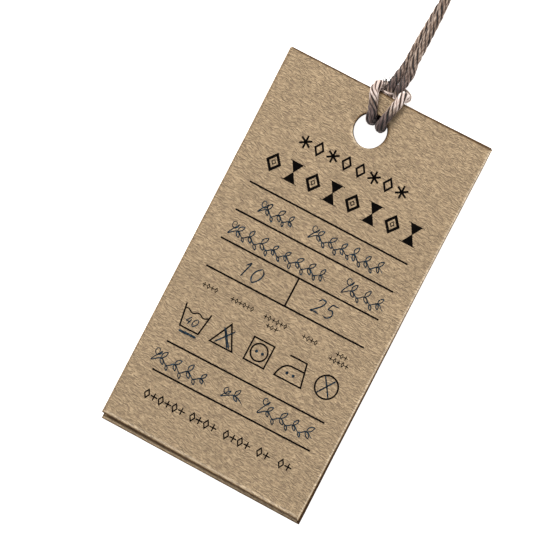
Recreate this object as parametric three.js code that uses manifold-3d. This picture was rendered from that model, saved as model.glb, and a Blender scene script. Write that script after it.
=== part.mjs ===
// A hang tag lying on a table: two kraft cards held together by one cotton string.
// The string is hitched round the strip of card between the hole and the top edge.
// Millimetres, +Z up, +Y along the cards towards the string. The table is z = 0.
import * as THREE from 'three';
import { mergeVertices } from 'three/addons/utils/BufferGeometryUtils.js';
import Module from 'manifold-3d';

const wasm = await Module();
wasm.setup();

// The two cards.
const CARD_WIDTH = 50;
const CARD_LENGTH = 90;
const CARD_THICKNESS = 0.8;
const CARD_GAP = 0.3;
const BACK_CARD_EXTRA_LENGTH = 1;
const HOLE_DIAMETER = 7.7;
const HOLE_CENTRE_TO_TOP_EDGE = 8.45;
const HOLE_SEGMENTS = 48;
const HOLE_LEFT_OF_MIDDLE = 0.65;
const BACK_CARD_LEFT_OF_FRONT = 0.44;
const CARDS_FANNED_APART_DEG = 0.5;

// The string, and how tightly its hitch sits on the card.
const STRING_DIAMETER = 1.8;
const STRING_TO_CARD_CLEARANCE = 0.35;
const STRAND_GAP = 0.25;
const LEG_PAIR_OFFSET_X = -0.38;
const STRANDS_IN_HOLE_SPACING = 2.55;
const LEGS_RISE_OVER_CROSSBAR_DEG = 40;
const LEGS_FALL_AFTER_CROSSBAR_DEG = 28;
const CROSSBAR_BEND_RADIUS = 1.5;
const STRING_SIDES = 8;
const HITCH_STEPS = 160;
const ARC_STEP_DEG = 18;
const LEG_STEPS = 38;
const CUT_FACE_GAP = 0.3;
const STRAIGHT_AT_CUT = 0.9;

// The overhand knot that ties the two ends together, and the tails beyond it.
const KNOT_TURNS = 1.25;
const KNOT_TURN_STEPS = 40;
const KNOT_FROM_LEG_END = 1.2;
const KNOT_CORE_INSET = 0.2;
const TAIL_LENGTH = 8;
const TAIL_SPREAD = 1.6;
const TAIL_SPREAD_HALFWAY = 0.4;
const TAIL_FALL_HALFWAY = 0.7;

// Sizes that follow from the ones above.
const stringRadius = STRING_DIAMETER / 2;
const stackThickness = 2 * CARD_THICKNESS + CARD_GAP;
const wrapRadius = stringRadius + STRING_TO_CARD_CLEARANCE;
const strandPitch = STRING_DIAMETER + STRAND_GAP;
const holeRadius = HOLE_DIAMETER / 2;
const backCardLength = CARD_LENGTH + BACK_CARD_EXTRA_LENGTH;
const frontMiddleX = BACK_CARD_LEFT_OF_FRONT / 2;
const backMiddleX = -BACK_CARD_LEFT_OF_FRONT / 2;
const legRise = THREE.MathUtils.degToRad(LEGS_RISE_OVER_CROSSBAR_DEG);
const legFall = THREE.MathUtils.degToRad(LEGS_FALL_AFTER_CROSSBAR_DEG);
const fan = THREE.MathUtils.degToRad(CARDS_FANNED_APART_DEG) / 2;

// The crossbar of the hitch lies behind the legs, just past the top edge of the cards.
const crossbarDistance = wrapRadius + strandPitch;
const crossbarY = crossbarDistance * Math.sin(legRise);
const crossbarZ = -crossbarDistance * Math.cos(legRise);

// The way that a leg heads as it comes off the crossbar, in card coordinates.
const legHeading = new THREE.Vector3(0, Math.cos(legFall), -Math.sin(legFall));

function material(color, roughness) {
  return new THREE.MeshStandardMaterial({ color, roughness, metalness: 0 });
}

function namedMesh(name, geometry, look) {
  const mesh = new THREE.Mesh(geometry, look);
  mesh.name = name;
  return mesh;
}

// Cards. Both are die cut: square corners and one round hole near the top edge.
// Card coordinates: x = 0 is halfway between the two cards' middle lines, y = 0 is the top edge
// and z = 0 is the back face of the back card.

// A card swings about the place where the string bears on the top of its hole.
function swingPivot() {
  const reach = holeRadius - wrapRadius;
  return new THREE.Vector3(LEG_PAIR_OFFSET_X, reach - HOLE_CENTRE_TO_TOP_EDGE, 0);
}

// Both holes are punched a little to the left of the card's middle, which is at x = middleX.
function holeX(middleX) {
  return middleX - HOLE_LEFT_OF_MIDDLE;
}

function cardGeometry(length, middleX) {
  const left = middleX - CARD_WIDTH / 2;
  const right = middleX + CARD_WIDTH / 2;
  const outline = new THREE.Shape();
  outline.moveTo(left, -length);
  outline.lineTo(right, -length);
  outline.lineTo(right, 0);
  outline.lineTo(left, 0);
  outline.closePath();
  const hole = new THREE.Path();
  hole.absarc(holeX(middleX), -HOLE_CENTRE_TO_TOP_EDGE, holeRadius, 0, 2 * Math.PI, true);
  outline.holes.push(hole);
  return new THREE.ExtrudeGeometry(outline, {
    depth: CARD_THICKNESS,
    bevelEnabled: false,
    curveSegments: HOLE_SEGMENTS,
  });
}

function card(name, length, middleX, bottomZ, swing) {
  const pivot = swingPivot();
  const geometry = cardGeometry(length, middleX);
  geometry.translate(-pivot.x, -pivot.y, 0);
  const mesh = namedMesh(name, geometry, material(0xb9a07c, 0.9));
  mesh.position.set(pivot.x, pivot.y, bottomZ);
  mesh.rotation.z = swing;
  return mesh;
}

// String. A round section swept along a smooth line through points.

function stringSection() {
  const section = new THREE.Shape();
  for (let side = 0; side <= STRING_SIDES; side += 1) {
    const angle = (2 * Math.PI * side) / STRING_SIDES;
    const x = stringRadius * Math.cos(angle);
    const y = stringRadius * Math.sin(angle);
    if (side === 0) section.moveTo(x, y);
    else section.lineTo(x, y);
  }
  return section;
}

function stringAlong(points, steps) {
  const route = new THREE.CatmullRomCurve3(points, false, 'centripetal');
  return new THREE.ExtrudeGeometry(stringSection(), { steps, extrudePath: route });
}

// Points on an arc in the YZ plane while x goes evenly from xFrom to xTo.
// centreY gives the arc's centre for each x, so that an arc can follow a round edge.
function arcPoints(centreY, centreZ, radius, fromDeg, toDeg, xFrom, xTo) {
  const points = [];
  const count = Math.ceil(Math.abs(toDeg - fromDeg) / ARC_STEP_DEG);
  for (let i = 0; i <= count; i += 1) {
    const share = i / count;
    const angle = THREE.MathUtils.degToRad(fromDeg + (toDeg - fromDeg) * share);
    const x = xFrom + (xTo - xFrom) * share;
    const y = centreY(x) + radius * Math.cos(angle);
    const z = centreZ + radius * Math.sin(angle);
    points.push(new THREE.Vector3(x, y, z));
  }
  return points;
}

const topEdge = () => 0;
const crossbar = () => crossbarY;

// The edge that a strand bends round inside the holes, which is lower further out. The holes
// don't quite line up, so it is the lower of the two cards' edges.
function holeEdge(x) {
  const reach = holeRadius - wrapRadius;
  const rises = [frontMiddleX, backMiddleX].map((middleX) => {
    const off = x - holeX(middleX);
    return Math.sqrt(Math.max(reach * reach - off * off, 0));
  });
  return Math.min(...rises) + wrapRadius - HOLE_CENTRE_TO_TOP_EDGE;
}

// Where the strands of the hitch lie across the card, for side -1 (left) or +1 (right).
function hitchPlaces(side) {
  return {
    leg: LEG_PAIR_OFFSET_X + (side * strandPitch) / 2,
    hole: LEG_PAIR_OFFSET_X + (side * STRANDS_IN_HOLE_SPACING) / 2,
    edge: LEG_PAIR_OFFSET_X + side * 1.5 * strandPitch,
  };
}

// Half of the hitch, from the middle of the crossbar to where one leg comes free.
function halfHitch(side) {
  const x = hitchPlaces(side);
  const points = [new THREE.Vector3(LEG_PAIR_OFFSET_X, crossbarY, crossbarZ)];

  // The crossbar turns up past the legs towards the front.
  const turnCentreX = x.edge - side * CROSSBAR_BEND_RADIUS;
  for (let degrees = 90; degrees >= 0; degrees -= 30) {
    const angle = THREE.MathUtils.degToRad(degrees);
    const across = turnCentreX + side * CROSSBAR_BEND_RADIUS * Math.cos(angle);
    const inward = (1 - Math.sin(angle)) * (crossbarY - wrapRadius);
    const up = CROSSBAR_BEND_RADIUS * (1 - Math.sin(angle));
    points.push(new THREE.Vector3(across, crossbarY - inward, crossbarZ + up));
  }

  // Over the top edge, down the front of the cards and into the hole.
  const front = stackThickness;
  const inHole = (x.hole + x.leg) / 2;
  points.push(...arcPoints(topEdge, front, wrapRadius, 0, 90, x.edge, x.edge));
  points.push(...arcPoints(holeEdge, front, wrapRadius, 90, 180, x.hole, inHole));

  // Round the back edge of the hole, up the back and out over the crossbar.
  const riseTo = 270 + LEGS_RISE_OVER_CROSSBAR_DEG;
  const overFrom = 90 + LEGS_RISE_OVER_CROSSBAR_DEG;
  const overTo = 90 - LEGS_FALL_AFTER_CROSSBAR_DEG;
  points.push(...arcPoints(holeEdge, 0, wrapRadius, 180, 270, inHole, x.leg));
  points.push(...arcPoints(topEdge, 0, wrapRadius, 270, riseTo, x.leg, x.leg));
  const over = arcPoints(crossbar, crossbarZ, strandPitch, overFrom, overTo, x.leg, x.leg);
  points.push(...over.slice(1));
  const off = over[over.length - 1].clone();
  points.push(off.addScaledVector(legHeading, STRAIGHT_AT_CUT));
  return points;
}

// The lark's head hitch, as one unbroken length from one leg to the other.
function hitchRoute() {
  const left = halfHitch(-1).reverse();
  const right = halfHitch(1);
  return left.concat(right.slice(1));
}

// The first, straight bit of a leg's free stretch, in card coordinates.
function legLead(side) {
  const start = halfHitch(side).pop().addScaledVector(legHeading, CUT_FACE_GAP);
  return [start, start.clone().addScaledVector(legHeading, STRAIGHT_AT_CUT)];
}

// The free legs turn half round each other, part to a small loop and meet again at the knot.
// Each point is x from the middle of the pair in strand pitches, y in millimetres from where
// the legs start, and the height of the string's underside over the table in strand pitches.
const LEFT_LEG_ROUTE = [
  [-0.413, 2.4, 0.122], [-0.333, 4.7, 0.024], [-0.313, 8.7, 0.015], [-0.183, 12.7, 0.015],
  [-0.083, 16.7, 0.015], [0.087, 21.7, 0.015], [0.427, 26.7, 0.015], [0.817, 30.7, 0.015],
  [1.307, 35, 0.015], [2.087, 40, 0.015], [2.727, 45, 0.015], [2.453, 50, 0.049],
  [1.722, 53.5, 0.39], [1.307, 56.2, 0.878], [1.222, 57.6, 1], [1.222, 58.8, 1],
];
const RIGHT_LEG_ROUTE = [
  [0.607, 2.4, 0.44], [0.457, 4.7, 0.66], [0.457, 8.7, 0.68], [0.467, 12.7, 0.82],
  [0.457, 16.7, 0.9], [0.367, 21.7, 1.01], [0.207, 26.7, 1.01], [-0.083, 30.7, 0.7],
  [-0.433, 35, 0.12], [-1.033, 40, 0.015], [-1.433, 45, 0.015], [-1.01, 50, 0.049],
  [-0.278, 53.5, 0.39], [0.136, 56.2, 0.878], [0.222, 57.6, 1], [0.222, 58.8, 1],
];

function legRoute(route, lead, pairX) {
  const points = [...lead];
  for (const [across, y, height] of route) {
    const x = pairX + across * strandPitch;
    const z = height * strandPitch + stringRadius;
    points.push(new THREE.Vector3(x, lead[0].y + y, z));
  }
  return points;
}

// The knot: both ends together, turned round themselves and drawn tight.

function toSolid(geometry) {
  const plain = geometry.clone();
  plain.deleteAttribute('normal');
  plain.deleteAttribute('uv');
  const merged = mergeVertices(plain, 1e-4);
  const vertProperties = new Float32Array(merged.attributes.position.array);
  const triVerts = new Uint32Array(merged.index.array);
  return new wasm.Manifold(new wasm.Mesh({ numProp: 3, vertProperties, triVerts }));
}

function toGeometry(solid) {
  const mesh = solid.getMesh();
  const geometry = new THREE.BufferGeometry();
  geometry.setAttribute('position', new THREE.BufferAttribute(mesh.vertProperties, 3));
  geometry.setIndex(new THREE.BufferAttribute(mesh.triVerts, 1));
  geometry.computeVertexNormals();
  return geometry;
}

// Half width and half height of the oval that the turns of the knot follow.
const knotHalfWidth = strandPitch / 2 + strandPitch;
const knotHalfHeight = strandPitch;

function knotTurn(start) {
  const points = [];
  for (let i = 0; i <= KNOT_TURN_STEPS / 2; i += 1) {
    const share = (2 * i) / KNOT_TURN_STEPS;
    const angle = 2 * Math.PI * KNOT_TURNS * share - Math.PI / 4;
    const x = knotHalfWidth * Math.cos(angle);
    const y = start + stringRadius + 2 * STRING_DIAMETER * KNOT_TURNS * share;
    points.push(new THREE.Vector3(x, y, knotHalfHeight * Math.sin(angle)));
  }
  return stringAlong(points, KNOT_TURN_STEPS);
}

function knotLength() {
  return 2 * STRING_DIAMETER * (KNOT_TURNS + 1) - stringRadius;
}

// One of the two strands that run through the knot and end as a cut tail on the table.
function knotStrand(side) {
  const x = (side * strandPitch) / 2;
  const halfwayX = x + side * TAIL_SPREAD * TAIL_SPREAD_HALFWAY;
  const halfwayZ = -knotHalfHeight * TAIL_FALL_HALFWAY;
  const end = knotLength() + KNOT_FROM_LEG_END;
  const points = [
    new THREE.Vector3(x, 0, 0),
    new THREE.Vector3(x, end / 2, 0),
    new THREE.Vector3(x, end, 0),
    new THREE.Vector3(halfwayX, end + TAIL_LENGTH / 2, halfwayZ),
    new THREE.Vector3(x + side * TAIL_SPREAD, end + TAIL_LENGTH, -knotHalfHeight),
  ];
  return stringAlong(points, KNOT_TURN_STEPS / 2);
}

// What the turns are drawn tight round. It lies just inside them.
function knotCore() {
  const halfWidth = knotHalfWidth - KNOT_CORE_INSET;
  const halfHeight = knotHalfHeight - KNOT_CORE_INSET;
  const section = new THREE.Shape();
  section.absellipse(0, 0, halfWidth, halfHeight, 0, 2 * Math.PI, false, 0);
  const geometry = new THREE.ExtrudeGeometry(section, {
    depth: knotLength() - 2 * STRING_DIAMETER,
    bevelEnabled: false,
    curveSegments: 2 * STRING_SIDES,
  });
  geometry.rotateX(-Math.PI / 2);
  geometry.translate(0, KNOT_FROM_LEG_END + STRING_DIAMETER, 0);
  return geometry;
}

function knotGeometry() {
  let solid = toSolid(knotCore());
  for (const start of [0, STRING_DIAMETER]) {
    solid = solid.add(toSolid(knotTurn(KNOT_FROM_LEG_END + start)));
  }
  for (const side of [-1, 1]) {
    solid = solid.add(toSolid(knotStrand(side)));
  }
  return toGeometry(solid);
}

// Assembly. The foot of the back card and the crossbar of the hitch both rest on the table,
// so the cards lean up towards the string.

const footToCrossbar = backCardLength + crossbarY;
const lean =
  Math.asin(stringRadius / Math.hypot(footToCrossbar, crossbarZ)) -
  Math.atan2(crossbarZ, footToCrossbar);

const tag = new THREE.Group();
tag.rotation.x = lean;
tag.position.set(0, backCardLength * Math.cos(lean), backCardLength * Math.sin(lean));
const frontCardZ = CARD_THICKNESS + CARD_GAP;
tag.add(card('back_card', backCardLength, backMiddleX, 0, fan));
tag.add(card('front_card', CARD_LENGTH, frontMiddleX, frontCardZ, -fan));
const cotton = material(0x8d7a6a, 0.95);
tag.add(namedMesh('string_hitch', stringAlong(hitchRoute(), HITCH_STEPS), cotton));
tag.updateMatrixWorld(true);

function leg(name, side, route) {
  const lead = legLead(side).map((point) => tag.localToWorld(point));
  const points = legRoute(route, lead, LEG_PAIR_OFFSET_X);
  return { mesh: namedMesh(name, stringAlong(points, LEG_STEPS), cotton), end: points.pop() };
}

const leftLeg = leg('string_leg_left', -1, LEFT_LEG_ROUTE);
const rightLeg = leg('string_leg_right', 1, RIGHT_LEG_ROUTE);

const knot = namedMesh('end_knot', knotGeometry(), cotton);
knot.position.addVectors(leftLeg.end, rightLeg.end).multiplyScalar(0.5);
knot.position.y += CUT_FACE_GAP;
knot.position.z = knotHalfHeight + stringRadius;

// The origin is under the middle of the cards and hitch, on the table.
const held = new THREE.Box3().setFromObject(tag, true);
const hangTag = new THREE.Group();
hangTag.add(tag, leftLeg.mesh, rightLeg.mesh, knot);
hangTag.position.set(
  -(held.min.x + held.max.x) / 2,
  -(held.min.y + held.max.y) / 2,
  -held.min.z,
);

export default hangTag;
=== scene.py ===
import math
import random

import bmesh
import bpy
import numpy as np
from mathutils import Matrix, Vector


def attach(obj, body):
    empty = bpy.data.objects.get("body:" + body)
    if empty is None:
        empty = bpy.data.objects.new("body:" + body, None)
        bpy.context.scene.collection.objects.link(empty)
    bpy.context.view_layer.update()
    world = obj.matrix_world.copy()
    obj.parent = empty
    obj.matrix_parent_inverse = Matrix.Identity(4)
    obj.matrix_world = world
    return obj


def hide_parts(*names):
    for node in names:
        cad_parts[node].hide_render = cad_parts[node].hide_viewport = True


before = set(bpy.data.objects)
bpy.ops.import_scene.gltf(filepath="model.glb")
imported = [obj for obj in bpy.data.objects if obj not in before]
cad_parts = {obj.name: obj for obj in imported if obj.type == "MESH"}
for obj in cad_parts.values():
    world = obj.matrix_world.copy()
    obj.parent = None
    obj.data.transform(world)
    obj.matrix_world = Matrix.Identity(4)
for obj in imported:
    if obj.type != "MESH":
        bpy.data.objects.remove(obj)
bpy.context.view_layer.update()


# Camera. It stands three quarters of a metre over the tag, a little to the reader's right,
# and sees the printed face nearly square on. The tag lies turned by 28 degrees in its frame.

CAMERA_PLACE_M = (0.177451, 0.00243, 0.739808)
CAMERA_RIGHT = Vector((0.85784, 0.46676, -0.21507)).normalized()
CAMERA_DOWN = Vector((0.45444, -0.88436, -0.10668)).normalized()
FOCAL_LENGTH_PX = 3500
FRAME_PX = 550

lens = bpy.data.cameras.new("camera")
lens.sensor_width = 36.0
lens.lens = lens.sensor_width * FOCAL_LENGTH_PX / FRAME_PX
lens.clip_start = 0.01
lens.clip_end = 20.0
camera = bpy.data.objects.new("camera", lens)
camera_back = CAMERA_RIGHT.cross(-CAMERA_DOWN)
camera_turn = Matrix((CAMERA_RIGHT, -CAMERA_DOWN, camera_back)).transposed().to_4x4()
camera.matrix_world = Matrix.Translation(CAMERA_PLACE_M) @ camera_turn
bpy.context.collection.objects.link(camera)
bpy.context.scene.camera = camera


# Route of the string. One length of cotton string is doubled, its loop goes through the hole
# and both legs pass through the loop: a lark's head hitch round the strip over the hole.
# The cards lean up towards the string by 2 degrees, because the crossbar props them.

# What the string passes: two cards, each with its middle a little off x = 0.
METRES_PER_MM = 0.001
BOARD_MM = 0.8
CARD_GAP_MM = 0.3
BACK_CARD_LENGTH_MM = 91.0
HOLE_RADIUS_MM = 3.85
HOLE_TO_TOP_EDGE_MM = 8.45
HOLE_LEFT_OF_MIDDLE_MM = 0.65
FRONT_CARD_MIDDLE_MM = 0.22
BACK_CARD_MIDDLE_MM = -0.22
TOP_EDGE_PLACE_MM = np.array((0.0, 43.3822, 3.3521))

# The string: how far its centre keeps from an edge that it bends round, and one strand from the
# next. The two halves of the hitch are -1, the left one, and 1, the right one.
STRING_RADIUS_MM = 0.9
WRAP_RADIUS_MM = 1.25
STRAND_PITCH_MM = 2.05
LEG_PAIR_X_MM = -0.38
OUTER_STRAND_PITCHES = 1.5
HOLE_STRAND_X_MM = {-1: -1.6, 1: 1.35}
CROSSBAR_BEND_MM = 1.5
LEG_RISE_DEG = 40
LEG_FALL_DEG = 28
TABLE_SHIFT_MM = 0.004
CUT_FACE_GAP_MM = 0.3
STRAIGHT_AT_CUT_MM = 0.9
BEND_STEP_DEG = 18
CURVE_STEP = 0.02

# The knot and its tails, which spread and drop to the table.
KNOT_LENGTH_MM = 8.4
KNOT_HALF_WIDTH_MM = 3.075
KNOT_HALF_HEIGHT_MM = 2.05
TAIL_MM = 8.0
TAIL_HALFWAY_OUT_MM = 0.64
TAIL_HALFWAY_DOWN_MM = 1.435
TAIL_END_OUT_MM = 1.6

stack_mm = 2 * BOARD_MM + CARD_GAP_MM
crossbar_reach = WRAP_RADIUS_MM + STRAND_PITCH_MM
crossbar_y = crossbar_reach * math.sin(math.radians(LEG_RISE_DEG))
crossbar_z = -crossbar_reach * math.cos(math.radians(LEG_RISE_DEG))
foot_to_crossbar = BACK_CARD_LENGTH_MM + crossbar_y
lean = math.asin(STRING_RADIUS_MM / math.hypot(foot_to_crossbar, crossbar_z))
lean -= math.atan2(crossbar_z, foot_to_crossbar)

leg_fall = math.radians(LEG_FALL_DEG)
leg_heading = np.array((0, math.cos(leg_fall), -math.sin(leg_fall)))


def off_card(points):
    """Millimetres on the leaning cards, y = 0 at the top edge, to millimetres on the table."""
    points = np.asarray(points, float)
    y = points[:, 1] * math.cos(lean) - points[:, 2] * math.sin(lean)
    z = points[:, 1] * math.sin(lean) + points[:, 2] * math.cos(lean)
    return np.stack([points[:, 0], y, z], axis=1) + TOP_EDGE_PLACE_MM


def bend(centre_y, centre_z, radius, start_deg, stop_deg, x_start, x_stop):
    """Points round an edge that lies along X, while x goes evenly from one value to the next.
    centre_y is a function of x, because the hole's edge is round."""
    count = math.ceil(abs(stop_deg - start_deg) / BEND_STEP_DEG)
    points = []
    for i in range(count + 1):
        share = i / count
        angle = math.radians(start_deg + (stop_deg - start_deg) * share)
        x = x_start + (x_stop - x_start) * share
        y = centre_y(x) + radius * math.cos(angle)
        points.append((x, y, centre_z + radius * math.sin(angle)))
    return points


def top_edge(x):
    """The cards' top edge, which is straight."""
    return 0.0


def crossbar_line(x):
    """The middle of the crossbar, which is straight too."""
    return crossbar_y


def hole_edge(x):
    """Where the string's centre turns inside the two holes, lower towards their sides."""
    reach = HOLE_RADIUS_MM - WRAP_RADIUS_MM
    rises = []
    for card_middle in (FRONT_CARD_MIDDLE_MM, BACK_CARD_MIDDLE_MM):
        off = x - (card_middle - HOLE_LEFT_OF_MIDDLE_MM)
        rises.append(math.sqrt(max(reach**2 - off**2, 0)))
    return min(rises) + WRAP_RADIUS_MM - HOLE_TO_TOP_EDGE_MM


def half_hitch(side):
    """From the middle of the crossbar to where one leg comes free, on the card. In the hole the
    right half lies further out than the left one."""
    leg_x = LEG_PAIR_X_MM + side * STRAND_PITCH_MM / 2
    hole_x = HOLE_STRAND_X_MM[side]
    edge_x = LEG_PAIR_X_MM + side * OUTER_STRAND_PITCHES * STRAND_PITCH_MM
    inner_x = (hole_x + leg_x) / 2
    points = [(LEG_PAIR_X_MM, crossbar_y, crossbar_z)]
    for degrees in (90, 60, 30, 0):
        angle = math.radians(degrees)
        x = edge_x + side * CROSSBAR_BEND_MM * (math.cos(angle) - 1)
        inward = (1 - math.sin(angle)) * (crossbar_y - WRAP_RADIUS_MM)
        up = CROSSBAR_BEND_MM * (1 - math.sin(angle))
        points.append((x, crossbar_y - inward, crossbar_z + up))
    points += bend(top_edge, stack_mm, WRAP_RADIUS_MM, 0, 90, edge_x, edge_x)
    points += bend(hole_edge, stack_mm, WRAP_RADIUS_MM, 90, 180, hole_x, inner_x)
    points += bend(hole_edge, 0, WRAP_RADIUS_MM, 180, 270, inner_x, leg_x)
    points += bend(top_edge, 0, WRAP_RADIUS_MM, 270, 270 + LEG_RISE_DEG, leg_x, leg_x)
    over_from, over_to = 90 + LEG_RISE_DEG, 90 - LEG_FALL_DEG
    over = bend(crossbar_line, crossbar_z, STRAND_PITCH_MM, over_from, over_to, leg_x, leg_x)
    straight = np.array(over[-1]) + leg_heading * STRAIGHT_AT_CUT_MM
    return points + over[1:] + [tuple(straight)]


# The free legs turn half round each other, part to a small loop and meet again at the knot: x
# from the middle of the pair and height over the table in strand pitches, y in millimetres from
# where the legs come free.
LEFT_LEG_ROUTE = [
    (-0.413, 2.4, 0.122), (-0.333, 4.7, 0.024), (-0.313, 8.7, 0.015), (-0.183, 12.7, 0.015),
    (-0.083, 16.7, 0.015), (0.087, 21.7, 0.015), (0.427, 26.7, 0.015), (0.817, 30.7, 0.015),
    (1.307, 35, 0.015), (2.087, 40, 0.015), (2.727, 45, 0.015), (2.453, 50, 0.049),
    (1.722, 53.5, 0.39), (1.307, 56.2, 0.878), (1.222, 57.6, 1), (1.222, 58.8, 1),
]
RIGHT_LEG_ROUTE = [
    (0.607, 2.4, 0.44), (0.457, 4.7, 0.66), (0.457, 8.7, 0.68), (0.467, 12.7, 0.82),
    (0.457, 16.7, 0.9), (0.367, 21.7, 1.01), (0.207, 26.7, 1.01), (-0.083, 30.7, 0.7),
    (-0.433, 35, 0.12), (-1.033, 40, 0.015), (-1.433, 45, 0.015), (-1.01, 50, 0.049),
    (-0.278, 53.5, 0.39), (0.136, 56.2, 0.878), (0.222, 57.6, 1), (0.222, 58.8, 1),
]


def cut_face(side, beyond):
    """A point past the hitch's end on the way of one leg, on the card."""
    return np.array(half_hitch(side)[-1]) + leg_heading * beyond


def leg_route(side, route):
    """The straight first bit of a leg and then its chosen points, in millimetres on the table."""
    start = cut_face(side, CUT_FACE_GAP_MM)
    lead = off_card([start, start + leg_heading * STRAIGHT_AT_CUT_MM])
    rest = []
    for across, y, height in route:
        x = LEG_PAIR_X_MM + across * STRAND_PITCH_MM + TOP_EDGE_PLACE_MM[0]
        z = height * STRAND_PITCH_MM + STRING_RADIUS_MM + TABLE_SHIFT_MM
        rest.append((x, lead[0][1] + y, z))
    return np.vstack([lead, rest])


def tail_route(side, leg_end):
    """A strand's straight way through the knot and its cut tail, which drops to the table."""
    knot_start = leg_end + (0, CUT_FACE_GAP_MM, 0)
    offsets = [
        (0, 0, 0),
        (0, KNOT_LENGTH_MM / 2, 0),
        (0, KNOT_LENGTH_MM, 0),
        (side * TAIL_HALFWAY_OUT_MM, KNOT_LENGTH_MM + TAIL_MM / 2, -TAIL_HALFWAY_DOWN_MM),
        (side * TAIL_END_OUT_MM, KNOT_LENGTH_MM + TAIL_MM, -KNOT_HALF_HEIGHT_MM),
    ]
    return knot_start + np.array(offsets)


def smooth_line(points, spacing):
    """A centripetal Catmull-Rom line through the points, at even distances along it."""
    points = np.asarray(points, float)
    ends = np.vstack([2 * points[0] - points[1], points, 2 * points[-1] - points[-2]])
    line = []
    for a, b, c, d in zip(ends[:-3], ends[1:-2], ends[2:-1], ends[3:]):
        before = math.sqrt(np.linalg.norm(b - a))
        here = math.sqrt(np.linalg.norm(c - b))
        after = math.sqrt(np.linalg.norm(d - c))
        leave = ((b - a) / before - (c - a) / (before + here) + (c - b) / here) * here
        reach = ((c - b) / here - (d - b) / (here + after) + (d - c) / after) * here
        for t in np.arange(0, 1, CURVE_STEP):
            curve = b + leave * t + (3 * (c - b) - 2 * leave - reach) * t**2
            line.append(curve + (2 * (b - c) + leave + reach) * t**3)
    line = np.array(line + [points[-1]])
    run = np.concatenate([[0], np.cumsum(np.linalg.norm(np.diff(line, axis=0), axis=1))])
    even = np.linspace(0, run[-1], round(run[-1] / spacing) + 1)
    return np.stack([np.interp(even, run, line[:, i]) for i in range(3)], axis=1)


# The whole string runs from the left leg's tail through the hitch to the right leg's tail.
# The legs have crossed once by the knot, so the left leg leaves it on the right.
LINE_STEP_MM = 0.28
left_leg_points = leg_route(-1, LEFT_LEG_ROUTE)
right_leg_points = leg_route(1, RIGHT_LEG_ROUTE)
left_tail_points = tail_route(1, left_leg_points[-1])
right_tail_points = tail_route(-1, right_leg_points[-1])
hitch_points = off_card(half_hitch(-1)[::-1] + half_hitch(1)[1:])
left_half = [left_tail_points[::-1], left_leg_points[::-1]]
string_points = np.vstack(left_half + [hitch_points, right_leg_points, right_tail_points])
string_line = smooth_line(string_points, LINE_STEP_MM)


def nearest(point):
    """The index of the string's sample nearest to a point."""
    return int(np.linalg.norm(string_line - point, axis=1).argmin())


left_knot_at = nearest(left_leg_points[-1])
left_cut_at = nearest(off_card([cut_face(-1, CUT_FACE_GAP_MM / 2)])[0])
right_cut_at = nearest(off_card([cut_face(1, CUT_FACE_GAP_MM / 2)])[0])
right_knot_at = nearest(right_leg_points[-1])


# String. Natural cotton: six soft plies, each spun one way and laid up the other way into
# an S twist. It is matt and slightly hairy, with painted shade in the grooves between the plies and
# painted highlight and shade along its length.

PLY_COUNT = 6
PLY_SIDES = 9
PLY_RADIUS_MM = 0.36
PLY_OFFSET_MM = 0.65
PLY_STRAYS_RAD = 0.2
PLY_LONG_SWELL = 0.12
PLY_SHORT_SWELL = 0.06
PLY_RUNS_APART_MM = 40
LAY_IN_HITCH_MM = 8.5
LAY_IN_LEGS_MM = 11.5
LAY_CHANGES_SAMPLES = 20
YARN_TWIST_MM = 3.2
FIBRE_RELIEF_M = 0.00009
HAIR_RADIUS_MM = 0.018
HAIR_CURL = 0.45
HAIR_SIDES = 3
HAIR_THINS = (1, 0.9, 0.75, 0.55, 0.25)

lint = random.Random(7)


def unit(vectors):
    """The same directions, one unit long."""
    return vectors / np.linalg.norm(vectors, axis=-1, keepdims=True)


def carried_normals(line):
    """Tangents, and normals that are carried along the line without turning round it."""
    tangents = unit(np.gradient(line, axis=0))
    normal = np.cross(tangents[0], (0, 0, 1.0))
    normals = []
    for tangent in tangents:
        normal = unit(normal - tangent * np.dot(normal, tangent))
        normals.append(normal)
    return tangents, np.array(normals)


def tube_along(line, outward, radii, sides, run, twist_mm):
    """Rings of points round a line, each with its place on the ply and how far out it faces."""
    tangents = unit(np.gradient(line, axis=0))
    outward = unit(outward - tangents * (outward * tangents).sum(1, keepdims=True))
    across = np.cross(tangents, outward)
    angles = np.arange(sides) * 2 * math.pi / sides
    spread = outward[:, None] * np.cos(angles)[None, :, None]
    spread = spread + across[:, None] * np.sin(angles)[None, :, None]
    points = line[:, None] + spread * radii[:, None, None]
    spin = angles[None] - 2 * math.pi * run[:, None] / twist_mm
    place = np.stack([np.cos(spin), np.sin(spin), np.repeat(run[:, None], sides, axis=1)], axis=2)
    facing = np.repeat(np.cos(angles)[None], len(line), axis=0)
    return points.reshape(-1, 3), place.reshape(-1, 3), facing.reshape(-1)


def add_tube(body, points, place, facing, sides):
    """Joins rings of points to a body of tubes, closed at both ends."""
    first = len(body["points"])
    rings = len(points) // sides
    body["points"].extend(map(tuple, points))
    body["place"].extend(map(tuple, place))
    body["facing"].extend(facing)
    for ring in range(rings - 1):
        for side in range(sides):
            a = first + ring * sides + side
            b = first + ring * sides + (side + 1) % sides
            body["faces"].append((a, b, b + sides, a + sides))
    body["faces"].append(tuple(first + side for side in reversed(range(sides))))
    body["faces"].append(tuple(first + (rings - 1) * sides + side for side in range(sides)))


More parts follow.
